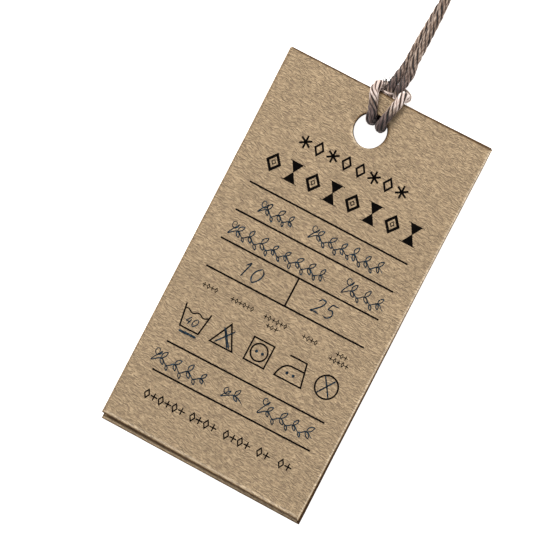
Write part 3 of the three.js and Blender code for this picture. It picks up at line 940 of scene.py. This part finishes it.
def crepe_grain(tree, strength):
    """The pressed grain as a height: short wandering ridges across the card, 0.3 mm from one to
    the next and 1 to 2 mm long, with ridges half as wide on them. Gives places in millimetres,
    the height and a bump node."""
    place = add_node(tree, "ShaderNodeTexCoord")
    in_mm = add_node(
        tree, "ShaderNodeVectorMath", {"operation": "SCALE", "Scale": 1000.0}, {0: place.outputs["Object"]}
    )
    drift = add_node(
        tree, "ShaderNodeTexNoise", {"Scale": 0.3, "Detail": 2.0}, {"Vector": in_mm.outputs[0]}
    )
    centred = add_node(
        tree, "ShaderNodeVectorMath",
        {"operation": "SUBTRACT", 1: (0.5, 0.5, 0.5)}, {0: drift.outputs["Color"]},
    )
    pushed = add_node(
        tree, "ShaderNodeVectorMath",
        {"operation": "MULTIPLY_ADD", 1: RIDGES_WANDER_MM}, {0: centred.outputs[0], 2: in_mm.outputs[0]},
    )
    turned = add_node(
        tree, "ShaderNodeVectorRotate",
        {"rotation_type": "Z_AXIS", "Angle": math.radians(RIDGES_TURN_DEG)}, {"Vector": pushed.outputs[0]},
    )
    long = add_node(
        tree, "ShaderNodeVectorMath", {"operation": "MULTIPLY", 1: RIDGES_PER_MM}, {0: turned.outputs[0]}
    )
    furrows = add_node(
        tree, "ShaderNodeTexNoise",
        {"noise_dimensions": "2D", "Scale": 1.0, "Detail": 1.0, "Roughness": 0.5, "Distortion": 0.4},
        {"Vector": long.outputs[0]},
    )
    short = add_node(
        tree, "ShaderNodeVectorMath",
        {"operation": "MULTIPLY", 1: FINE_RIDGES_PER_MM}, {0: turned.outputs[0]},
    )
    fine = add_node(
        tree, "ShaderNodeTexNoise",
        {"noise_dimensions": "2D", "Scale": 1.0, "Detail": 1.0, "Roughness": 0.5},
        {"Vector": short.outputs[0]},
    )
    height = add_node(
        tree, "ShaderNodeMath",
        {"operation": "MULTIPLY_ADD", 1: FINE_RIDGES_SHARE},
        {0: fine.outputs["Fac"], 2: furrows.outputs["Fac"]},
    )
    bump = add_node(
        tree, "ShaderNodeBump",
        {"Strength": strength, "Distance": GRAIN_DEPTH_M}, {"Height": height.outputs[0]},
    )
    return in_mm, height, bump


def with_painted_rim_light(tree, colour):
    """A colour with the rim's painted light on it: browner where it is painted shade, and whiter where it
    is painted highlight.
    """
    rim = add_node(tree, "ShaderNodeAttribute", {"attribute_name": "rim_tone"})
    green = add_node(tree, "ShaderNodeMath", {"operation": "POWER", 1: 1.2}, {0: rim.outputs["Fac"]})
    blue = add_node(tree, "ShaderNodeMath", {"operation": "POWER", 1: 1.5}, {0: rim.outputs["Fac"]})
    tint = add_node(
        tree, "ShaderNodeCombineXYZ", {}, {0: rim.outputs["Fac"], 1: green.outputs[0], 2: blue.outputs[0]}
    )
    toned = add_node(
        tree, "ShaderNodeVectorMath", {"operation": "MULTIPLY"}, {0: colour, 1: tint.outputs[0]}
    )
    return toned.outputs[0]


def kraft_face():
    """Unbleached kraft board, pressed with a crepe grain: matt, warm, and faintly flecked."""
    material, tree, output = new_material("crepe_pressed_kraft_board")
    in_mm, height, bump = crepe_grain(tree, 1.0)
    # The colour follows the grain's height, darker in the furrows and paler on the ridges: partly the
    # board's own darker furrows, partly painted shade and highlight of the pressed relief.
    colour = add_node(tree, "ShaderNodeValToRGB", {}, {"Fac": height.outputs[0]})
    set_ramp(colour, [(0.58, "#99836a"), (0.78, "#b59c7b"), (0.98, "#c9b08d")])

    # Clouds 8 mm across where the pulp lay thicker, and flecks of bark 0.2 mm wide.
    clouds = add_node(
        tree, "ShaderNodeTexNoise", {"Scale": 0.12, "Detail": 2.0}, {"Vector": in_mm.outputs[0]},
    )
    cloud_range = add_node(
        tree, "ShaderNodeMapRange",
        {"From Min": 0.35, "From Max": 0.65, "To Min": 0.965, "To Max": 1.035},
        {"Value": clouds.outputs["Fac"]},
    )
    clouded = add_node(
        tree, "ShaderNodeVectorMath", {"operation": "SCALE"},
        {0: colour.outputs["Color"], "Scale": cloud_range.outputs[0]},
    )
    drawn_out = add_node(
        tree, "ShaderNodeVectorMath", {"operation": "MULTIPLY", 1: (0.7, 2.6, 0.0)},
        {0: in_mm.outputs[0]},
    )
    flecks = add_node(
        tree, "ShaderNodeTexNoise",
        {"noise_dimensions": "2D", "Scale": 1.6, "Detail": 3.0, "Roughness": 0.7},
        {"Vector": drawn_out.outputs[0]},
    )
    fleck_mask = add_node(
        tree, "ShaderNodeMapRange", {"From Min": 0.66, "From Max": 0.76, "To Max": 0.35},
        {"Value": flecks.outputs["Fac"]},
    )
    flecked = add_node(
        tree, "ShaderNodeMix", {"data_type": "RGBA", 7: linear("#725a3d")},
        {"Factor": fleck_mask.outputs[0], 6: clouded.outputs[0]},
    )

    shader = add_node(
        tree, "ShaderNodeBsdfPrincipled", {"Roughness": 0.88, "IOR": 1.5, "Specular IOR Level": 0.35},
        {"Base Color": with_painted_rim_light(tree, flecked.outputs[2]), "Normal": bump.outputs[0]},
    )
    tree.links.new(shader.outputs[0], output.inputs[0])
    return material


def cut_board(name, pale, dark):
    """Board where a die has cut it: dull bare pulp in layers a tenth of a millimetre thick."""
    material, tree, output = new_material(name)
    place = add_node(tree, "ShaderNodeTexCoord")
    in_mm = add_node(
        tree, "ShaderNodeVectorMath", {"operation": "SCALE", "Scale": 1000.0},
        {0: place.outputs["Object"]},
    )
    layered = add_node(
        tree, "ShaderNodeVectorMath", {"operation": "MULTIPLY", 1: (1.1, 1.1, 7.0)},
        {0: in_mm.outputs[0]},
    )
    pulp = add_node(
        tree, "ShaderNodeTexNoise", {"Scale": 1.4, "Detail": 3.0, "Roughness": 0.65},
        {"Vector": layered.outputs[0]},
    )
    colour = add_node(tree, "ShaderNodeValToRGB", {}, {"Fac": pulp.outputs["Fac"]})
    set_ramp(colour, [(0.35, dark), (0.62, pale)])
    bump = add_node(
        tree, "ShaderNodeBump",
        {"Strength": 0.8, "Distance": PULP_RELIEF_M}, {"Height": pulp.outputs["Fac"]},
    )
    shader = add_node(
        tree, "ShaderNodeBsdfPrincipled", {"Roughness": 0.95, "IOR": 1.5, "Specular IOR Level": 0.2},
        {"Base Color": with_painted_rim_light(tree, colour.outputs["Color"]), "Normal": bump.outputs[0]},
    )
    tree.links.new(shader.outputs[0], output.inputs[0])
    return material


# The front card's pale edge is partly the pulp's own colour and partly painted highlight, the back card's
# brown edge is painted shade, and the hole's near-black wall is painted shadow.
kraft = kraft_face()
front_edge = cut_board("die_cut_pale_board", "#cdb690", "#a2875f")
back_edge = cut_board("die_cut_board_in_painted_shade", "#8a6c46", "#5c4126")
hole_wall = cut_board("punched_board_in_painted_shadow", "#33261a", "#120c07")

front_card = die_cut_card(
    "front_card_of_kraft_board", FRONT_CARD_LENGTH_MM, FRONT_CARD_MIDDLE_MM, BOARD_MM + CARD_GAP_MM,
    -FANNED_EACH_WAY_DEG, ROLLED_FOOT, FRONT_RIM_PAINTED_LIGHT, (kraft, front_edge, hole_wall),
)
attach(front_card, "front_card")
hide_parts("front_card")

back_card = die_cut_card(
    "back_card_of_kraft_board", BACK_CARD_LENGTH_MM, BACK_CARD_MIDDLE_MM, 0.0, FANNED_EACH_WAY_DEG,
    CRISP_EDGE, BACK_RIM_PAINTED_LIGHT, (kraft, back_edge, hole_wall),
)
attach(back_card, "back_card")
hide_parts("back_card")


# Print. Black offset ink on the front card's face: six rules, a divider between two cells, and
# the usual laundry symbols. The ink stands a hundredth of a millimetre over the board.

INK_TOP_MM = 0.012
INK_ROOT_MM = -0.03
RULE_WIDTH_MM = 0.4
RULE_ENDS_MM = (-19.1, 20.55)
RULE_ROWS_MM = (-30.22, -36.95, -43.8, -50.63, -69.1, -75.95)
DIVIDER_X_MM = 0.72
ASKEW_BELOW_MM = -30
PRINT_ASKEW_PER_MM = 0.0004
MITRE_LIMIT = 0.35


def printed(points, height):
    """Points of the print on the card, a touch askew towards the foot, to metres on the table."""
    points = np.asarray(points, float)
    askew = PRINT_ASKEW_PER_MM * np.maximum(0, ASKEW_BELOW_MM - points[:, 1])
    y = points[:, 1] + points[:, 0] * askew
    on_face = np.stack([points[:, 0], y, np.full(len(points), stack_mm + height)], axis=1)
    return off_card(swung(on_face, -FANNED_EACH_WAY_DEG)) * METRES_PER_MM


def line_edges(points, widths, closed):
    """The two edges of a line of ink, with mitred corners."""
    points = np.asarray(points, float)
    if closed:
        before = unit(points - np.roll(points, 1, axis=0))
        after = np.roll(before, -1, axis=0)
    else:
        steps = unit(np.diff(points, axis=0))
        before = np.vstack([steps[:1], steps])
        after = np.vstack([steps, steps[-1:]])
    along = unit(before + after)
    cosine = np.maximum((along * before).sum(1), MITRE_LIMIT)
    side = np.stack([-along[:, 1], along[:, 0]], axis=1)
    offset = side * (np.broadcast_to(widths, len(points)) / 2 / cosine)[:, None]
    return points + offset, points - offset


def ink_line(body, points, widths, closed=False):
    """A thin closed solid of ink along a line."""
    left, right = line_edges(points, widths, closed)
    first, count = len(body["points"]), len(left)
    corners = [printed(left, INK_TOP_MM), printed(right, INK_TOP_MM)]
    corners += [printed(right, INK_ROOT_MM), printed(left, INK_ROOT_MM)]
    for i in range(count):
        body["points"].extend(tuple(corner[i]) for corner in corners)
    for i in range(count if closed else count - 1):
        here, there = first + 4 * i, first + 4 * ((i + 1) % count)
        for k in range(4):
            body["faces"].append((here + k, here + (k + 1) % 4, there + (k + 1) % 4, there + k))
    if not closed:
        last = first + 4 * (count - 1)
        body["faces"].append((first + 3, first + 2, first + 1, first))
        body["faces"].append((last, last + 1, last + 2, last + 3))


def ink_shape(body, points):
    """A thin closed solid of ink that fills a convex outline, given counterclockwise."""
    first, count = len(body["points"]), len(points)
    for height in (INK_TOP_MM, INK_ROOT_MM):
        body["points"].extend(map(tuple, printed(points, height)))
    top = list(range(first, first + count))
    body["faces"].append(tuple(top))
    body["faces"].append(tuple(i + count for i in reversed(top)))
    for i in range(count):
        j = (i + 1) % count
        body["faces"].append((top[i] + count, top[j] + count, top[j], top[i]))


def round_line(x, y, radius, count=48):
    """Points round a circle."""
    angles = np.linspace(0, 2 * math.pi, count, endpoint=False)
    return np.stack([x + radius * np.cos(angles), y + radius * np.sin(angles)], axis=1)


def ink_piece(name, body, ink):
    """An object for ink, which stays with the front card."""
    mesh = bpy.data.meshes.new(name)
    mesh.from_pydata(body["points"], [], body["faces"])
    mesh.materials.append(ink)
    piece = bpy.data.objects.new(name, mesh)
    bpy.context.collection.objects.link(piece)
    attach(piece, "front_card")
    return piece


def ink_on_board(name, dark, thin, grain_share, roughness):
    """Ink on matt board: it follows the board's grain and is thinner where the grain lies low."""
    material, tree, output = new_material(name)
    in_mm, height, bump = crepe_grain(tree, grain_share)

    # Blotches half a millimetre across.
    blotches = add_node(
        tree, "ShaderNodeTexNoise", {"Scale": 2.2, "Detail": 2.0}, {"Vector": in_mm.outputs[0]},
    )
    cover = add_node(
        tree, "ShaderNodeMath", {"operation": "MULTIPLY_ADD", 1: 0.4},
        {0: blotches.outputs["Fac"], 2: height.outputs[0]},
    )
    colour = add_node(tree, "ShaderNodeValToRGB", {}, {"Fac": cover.outputs[0]})
    set_ramp(colour, [(0.75, thin), (1.0, dark)])
    shader = add_node(
        tree, "ShaderNodeBsdfPrincipled",
        {"Roughness": roughness, "IOR": 1.45, "Specular IOR Level": 0.08},
        {"Base Color": colour.outputs["Color"], "Normal": bump.outputs[0]},
    )
    tree.links.new(shader.outputs[0], output.inputs[0])
    return material


black_ink = ink_on_board("black_offset_ink", "#030201", "#0d0805", 0.4, 0.9)

rules = {"points": [], "faces": []}
for y in RULE_ROWS_MM:
    ink_line(rules, [(x, y) for x in RULE_ENDS_MM], RULE_WIDTH_MM)
ink_line(rules, [(DIVIDER_X_MM, y) for y in RULE_ROWS_MM[2:4]], RULE_WIDTH_MM)
ink_piece("printed_rules", rules, black_ink)

# The laundry symbols: wash tub, bleach triangle, dryer, iron and the circle for dry cleaning.
SYMBOL_LINE_MM = 0.37
SYMBOL_FOOT_MM = -64.8
SYMBOL_TOP_MM = -59.45
WATER_ENDS_MM = (-18.65, -13.1)
WATER_WAVE_MM = 0.28

symbols = {"points": [], "faces": []}
tub = [
    (-19.0, SYMBOL_TOP_MM - 0.3), (-18.15, SYMBOL_FOOT_MM), (-13.55, SYMBOL_FOOT_MM),
    (-12.75, SYMBOL_TOP_MM - 0.3),
]
ink_line(symbols, tub, SYMBOL_LINE_MM)
water_x = np.linspace(*WATER_ENDS_MM, 40)
water_turns = (water_x - WATER_ENDS_MM[0]) / (WATER_ENDS_MM[1] - WATER_ENDS_MM[0]) * 4 * math.pi
water_y = -60.95 + WATER_WAVE_MM * np.sin(water_turns + 0.6)
ink_line(symbols, np.stack([water_x, water_y], axis=1), SYMBOL_LINE_MM * 0.8)
triangle = [(-7.8, SYMBOL_TOP_MM), (-10.6, SYMBOL_FOOT_MM), (-5.0, SYMBOL_FOOT_MM)]
ink_line(symbols, triangle, SYMBOL_LINE_MM, closed=True)
square = [(-2.05, SYMBOL_FOOT_MM), (3.0, SYMBOL_FOOT_MM), (3.0, SYMBOL_TOP_MM), (-2.05, SYMBOL_TOP_MM)]
ink_line(symbols, square, SYMBOL_LINE_MM, closed=True)
ink_line(symbols, round_line(0.47, -62.1, 1.95), SYMBOL_LINE_MM, closed=True)
iron_back = [(6.9, SYMBOL_TOP_MM), (11.1, SYMBOL_TOP_MM), (12.25, SYMBOL_FOOT_MM), (5.65, SYMBOL_FOOT_MM)]
iron_nose = [(5.95, -63.6), (6.5, -62.5), (7.3, -61.75), (8.3, -61.5), (11.6, -61.5)]
ink_line(symbols, iron_back + iron_nose, SYMBOL_LINE_MM)
ink_line(symbols, round_line(17.25, -61.98, 2.6), SYMBOL_LINE_MM, closed=True)
ink_piece("printed_laundry_symbols", symbols, black_ink)


# Ornaments. In the same black ink, the head of the card has a fine row of stars and lozenges over
# a bold band of lozenges and hourglasses. Its foot has a row of small crosses and lozenges, and
# there are rows of tiny ones over the laundry symbols. All are old textile patterns.

FINE_LINE_MM = 0.45
FINE_ROW_MM = (-12.05, -17.05)
FINE_PITCH_MM = 3.44
BOLD_ROW_MM = (-16.35, -24.12)
BOLD_PITCH_MM = 4.96
BOLD_LINE_MM = 0.62
BOLD_HALF_HEIGHT_MM = 2.28
STARS_AT = (0, 2, 5, 7)
HOURGLASS_HALF_WIDTH_MM = 1.45
HOURGLASS_WAIST_MM = 0.12
HOURGLASS_LIP_MM = 1.95
LIP_LINE_MM = 0.14
FOOT_ROW_MM = -81.25
FOOT_PITCH_MM = 1.74
FOOT_LINE_MM = 0.3
TINY_PITCH_MM = 0.98


def lozenge(body, x, y, half_width, half_height, width):
    """A lozenge in outline."""
    corners = [(x + half_width, y), (x, y + half_height), (x - half_width, y), (x, y - half_height)]
    ink_line(body, corners, width, closed=True)


def star(body, x, y, reach, width, rays=3):
    """Strokes crossed at their middles, one of them upright."""
    for ray in range(rays):
        angle = math.pi * (ray / rays + 0.5)
        dx, dy = reach * math.cos(angle), reach * math.sin(angle)
        ink_line(body, [(x - dx, y - dy), (x + dx, y + dy)], width)


head_row = {"points": [], "faces": []}
for place in range(8):
    x, y = FINE_ROW_MM[0] + FINE_PITCH_MM * place, FINE_ROW_MM[1]
    if place in STARS_AT:
        star(head_row, x, y, 1.5, FINE_LINE_MM)
    else:
        lozenge(head_row, x, y, 1.0, 1.45, FINE_LINE_MM)
ink_piece("printed_fine_row", head_row, black_ink)

band = {"points": [], "faces": []}
for place in range(8):
    x, y = BOLD_ROW_MM[0] + BOLD_PITCH_MM * place, BOLD_ROW_MM[1]
    if place % 2 == 0:
        lozenge(band, x, y, 1.5, 1.82, BOLD_LINE_MM)
        lozenge(band, x, y, 0.45, 0.55, 0.2)
    else:
        for way in (-1, 1):
            rim = y + way * BOLD_HALF_HEIGHT_MM
            left, right = x - HOURGLASS_HALF_WIDTH_MM, x + HOURGLASS_HALF_WIDTH_MM
            wedge = [(left, rim), (x, y - way * HOURGLASS_WAIST_MM), (right, rim)]
            ink_shape(band, wedge if way == 1 else wedge[::-1])
            ink_line(band, [(x - HOURGLASS_LIP_MM, rim), (x + HOURGLASS_LIP_MM, rim)], LIP_LINE_MM)
ink_piece("printed_bold_band", band, black_ink)

foot_row = {"points": [], "faces": []}
for start, count in ((-17.55, 6), (-6.1, 4), (2.4, 4), (10.75, 2), (16.15, 2)):
    for place in range(count):
        x = start + FOOT_PITCH_MM * place
        if place % 2 == 0:
            lozenge(foot_row, x, FOOT_ROW_MM, 0.58, 0.98, FOOT_LINE_MM)
        else:
            star(foot_row, x, FOOT_ROW_MM, 0.85, FOOT_LINE_MM, rays=2)
ink_piece("printed_foot_row", foot_row, black_ink)

# Each tiny row: its middle and how many marks it has.
TINY_ROWS = (
    (-15.95, -54.5, 4), (-7.85, -54.5, 6), (0.5, -54.5, 6), (0.45, -56.05, 3),
    (9.15, -54.5, 4), (17.1, -54.5, 3), (17.1, -56.05, 5),
)
small_marks = {"points": [], "faces": []}
for middle, y, count in TINY_ROWS:
    for place in range(count):
        x = middle + TINY_PITCH_MM * (place - (count - 1) / 2)
        if place % 2 == 0:
            star(small_marks, x, y, 0.5, 0.2, rays=2)
        else:
            lozenge(small_marks, x, y, 0.3, 0.5, 0.18)
ink_piece("printed_small_marks", small_marks, black_ink)


# Pen. The blanks are filled in by hand in blue ballpoint: leafy garlands on the lines, plain
# numbers in the two cells and the tub, and crosses, dots and an underline on the symbols.

PEN_LINE_MM = 0.25
PEN_NUMBER_MM = 0.32
PEN_CROSS_MM = 0.34
PEN_STEP_MM = 0.12
STEM_OVER_LINE_MM = 1.15
STEM_WAVE_MM = 3.1
CURL_STEPS = 13
DIGIT_PITCH = 0.82
DIGIT_SLANT = 0.25

hand = random.Random(12)
pen_ink = ink_on_board("blue_ballpoint_ink", "#15212b", "#344a56", 0.7, 0.7)
writing = {"points": [], "faces": []}


def pen_stroke(points, width=PEN_LINE_MM):
    """A smooth line of pen ink that is thinner where the pen lands and lifts."""
    flat = [(x, y, 0.0) for x, y in points]
    line = smooth_line(flat, PEN_STEP_MM)[:, :2]
    share = np.linspace(0, 1, len(line))
    pressure = np.minimum(1, 0.45 + 6 * np.minimum(share, 1 - share))
    pressure = pressure * (1 + 0.12 * np.sin(share * 37))
    ink_line(writing, line, width * pressure)


def leaf(x, y, length, degrees):
    """One pointed leaf, drawn in a single stroke out to its tip and back."""
    along = np.array((math.cos(math.radians(degrees)), math.sin(math.radians(degrees))))
    across = np.array((-along[1], along[0])) * length * 0.24
    root = np.array((x, y))
    tip = root + along * length
    out = [root, root + along * length * 0.4 + across, root + along * length * 0.75 + across * 0.7]
    back = [tip, root + along * length * 0.6 - across * 0.8, root + along * length * 0.2 - across * 0.5]
    pen_stroke([tuple(p) for p in out + back + [root]])


def garland(x_start, x_end, base, tall):
    """A leafy stem along a line of the card, with a tall curl where the pen began."""
    middle = base + STEM_OVER_LINE_MM
    curl = []
    for i in range(CURL_STEPS):
        turn = math.radians(-40 + 34 * i)
        radius = 0.25 + 0.055 * i
        x = x_start + 0.9 + radius * math.cos(turn)
        curl.append((x, base + tall - 1.1 + radius * 1.15 * math.sin(turn)))
    waves = max(1, round((x_end - x_start - 1.2) / STEM_WAVE_MM))
    stem = [(x_start + 0.2, base + 0.35)]
    for i in range(1, 2 * waves + 1):
        x = x_start + 0.6 + (x_end - x_start - 0.6) * i / (2 * waves)
        way = 1 if i % 2 else -1
        stem.append((x, middle + way * hand.uniform(0.35, 0.6)))
    pen_stroke(curl + stem)
    for i, (x, y) in enumerate(stem[1:-1]):
        way = 1 if i % 2 == 0 else -1
        reach = hand.uniform(1.5, 2.0) if way == 1 else hand.uniform(1.0, 1.35)
        leaf(x - 0.1, y, reach, way * hand.uniform(42, 66) + (8 if way == 1 else 0))
        if way == 1:
            leaf(x - 0.25, y - 0.1, reach * 0.8, -hand.uniform(35, 60))


# The strokes of each digit, one unit high.
DIGITS = {
    "0": [[(0.3, 1.0), (0.05, 0.7), (0.03, 0.3), (0.25, 0.0), (0.5, 0.25), (0.55, 0.7), (0.33, 0.99)]],
    "1": [[(0.12, 0.74), (0.32, 1.0), (0.3, 0.5), (0.28, 0.0)]],
    "2": [
        [
            (0.06, 0.76), (0.2, 0.97), (0.48, 0.92), (0.46, 0.62), (0.2, 0.25), (0.02, 0.03),
            (0.3, 0.07), (0.6, 0.02),
        ]
    ],
    "4": [
        [(0.34, 1.0), (0.18, 0.65), (0.02, 0.36), (0.3, 0.34), (0.62, 0.37)],
        [(0.46, 0.72), (0.43, 0.35), (0.4, 0.0)],
    ],
    "5": [
        [
            (0.58, 0.99), (0.36, 0.96), (0.16, 0.97), (0.1, 0.58), (0.36, 0.6), (0.54, 0.32),
            (0.36, 0.04), (0.04, 0.08),
        ]
    ],
}


def pen_number(text, x, base, height, width=PEN_LINE_MM):
    """Digits in a slanting hand."""
    for place, digit in enumerate(text):
        left = x + DIGIT_PITCH * height * place
        for stroke in DIGITS[digit]:
            slanted = [(left + (a + b * DIGIT_SLANT) * height, base + b * height) for a, b in stroke]
            pen_stroke(slanted, width)


# Each garland: where it starts and ends, the line it stands on, and its curl's height.
GARLANDS_MM = (
    (-14.6, -5.6, -35.5, 3.6), (-2.0, 16.6, -35.4, 3.9),
    (-18.4, 6.2, -42.6, 3.9), (10.2, 20.4, -42.5, 4.4),
    (-20.6, -6.6, -74.6, 3.9), (-2.9, 2.6, -74.6, 3.2), (6.0, 19.6, -74.2, 4.6),
)
TUB_UNDERLINE = [(-17.9, -65.85), (-16.5, -65.8), (-15, -65.72), (-13.6, -65.75)]
UNDERLINE_MM = 0.55
TRIANGLE_CROSS = [
    [(-8.95, -60.6), (-7.6, -62.7), (-6.25, -64.7)],
    [(-6.3, -60.5), (-8.0, -62.6), (-9.6, -64.5)],
]
TRIANGLE_SECOND_STROKE = [(-8.5, -60.9), (-7.1, -62.9), (-5.9, -64.55)]
SECOND_STROKE_MM = 0.3
CIRCLE_CROSS = [
    [(15.7, -64.1), (17.2, -61.9), (18.6, -59.85)],
    [(15.9, -59.85), (17.3, -61.9), (18.7, -64.0)],
]
DOTS = ((-0.2, -62.1), (1.3, -62.1), (8.05, -63.2), (9.6, -63.2))
DOT_RADIUS_MM = 0.36

for x_start, x_end, base, tall in GARLANDS_MM:
    garland(x_start, x_end, base, tall)
pen_number("10", -12.2, -49.35, 3.6, PEN_NUMBER_MM)
pen_number("25", 6.1, -48.85, 3.4, PEN_NUMBER_MM)
pen_number("40", -17.55, -63.85, 1.9)
pen_stroke(TUB_UNDERLINE, UNDERLINE_MM)
for stroke in TRIANGLE_CROSS:
    pen_stroke(stroke, PEN_CROSS_MM)
pen_stroke(TRIANGLE_SECOND_STROKE, SECOND_STROKE_MM)
for stroke in CIRCLE_CROSS:
    pen_stroke(stroke, PEN_CROSS_MM)
for x, y in DOTS:
    ink_shape(writing, round_line(x, y, DOT_RADIUS_MM, 16))
ink_piece("pen_writing", writing, pen_ink)


# Table and light. A plain light table, which is a sheet of opal acrylic lit evenly from
# below, one soft lamp beyond the string end of the tag, and an even white surround.

FLOOR_HALF_M = 3.0
FLOOR_TOP_M = -0.00002
SURROUND_STRENGTH = 0.62
LAMP_DISTANCE_M = 0.9
LAMP_DIAMETER_M = 0.35
LAMP_WATTS = 6.5

floor_mesh = bpy.data.meshes.new("table_top")
corners = [(-1, -1), (1, -1), (1, 1), (-1, 1)]
floor_mesh.from_pydata(
    [(x * FLOOR_HALF_M, y * FLOOR_HALF_M, FLOOR_TOP_M) for x, y in corners], [], [(0, 1, 2, 3)],
)
floor = bpy.data.objects.new("table_top", floor_mesh)
bpy.context.collection.objects.link(floor)


def opal_acrylic():
    """Opal acrylic, matt on top, with light coming through it and a faint mottle 2 cm across."""
    material, tree, output = new_material("opal_acrylic_sheet")
    place = add_node(tree, "ShaderNodeTexCoord")
    mottle = add_node(
        tree, "ShaderNodeTexNoise", {"Scale": 60.0, "Detail": 2.0}, {"Vector": place.outputs["Object"]},
    )
    colour = add_node(tree, "ShaderNodeValToRGB", {}, {"Fac": mottle.outputs["Fac"]})
    set_ramp(colour, [(0.3, "#f3f2f0"), (0.7, "#f6f5f3")])
    glow = {
        "Roughness": 0.9, "Specular IOR Level": 0.2, "Emission Strength": 0.85,
        "Emission Color": linear("#ffffff"),
    }
    shader = add_node(tree, "ShaderNodeBsdfPrincipled", glow, {"Base Color": colour.outputs["Color"]})
    tree.links.new(shader.outputs[0], output.inputs[0])
    return material


floor_mesh.materials.append(opal_acrylic())

world = bpy.data.worlds.new("white_surround")
world.use_nodes = True
surround = world.node_tree.nodes["Background"]
surround.inputs["Color"].default_value = linear("#fbfbfd")
surround.inputs["Strength"].default_value = SURROUND_STRENGTH
bpy.context.scene.world = world

# The lamp stands 48 degrees up.
lamp_way = Vector((-0.463 * 0.67, 0.886 * 0.67, 0.743)).normalized()
lamp = bpy.data.lights.new("soft_lamp", "AREA")
lamp.shape = "DISK"
lamp.size = LAMP_DIAMETER_M
lamp.energy = LAMP_WATTS
lamp.color = (1.0, 0.985, 0.965)
lamp_stand = bpy.data.objects.new("soft_lamp", lamp)
lamp_stand.location = lamp_way * LAMP_DISTANCE_M
lamp_stand.rotation_mode = "QUATERNION"
lamp_stand.rotation_quaternion = lamp_way.to_track_quat("Z", "Y")
bpy.context.collection.objects.link(lamp_stand)

bpy.context.scene.view_settings.view_transform = "Standard"
bpy.context.scene.view_settings.look = "None"
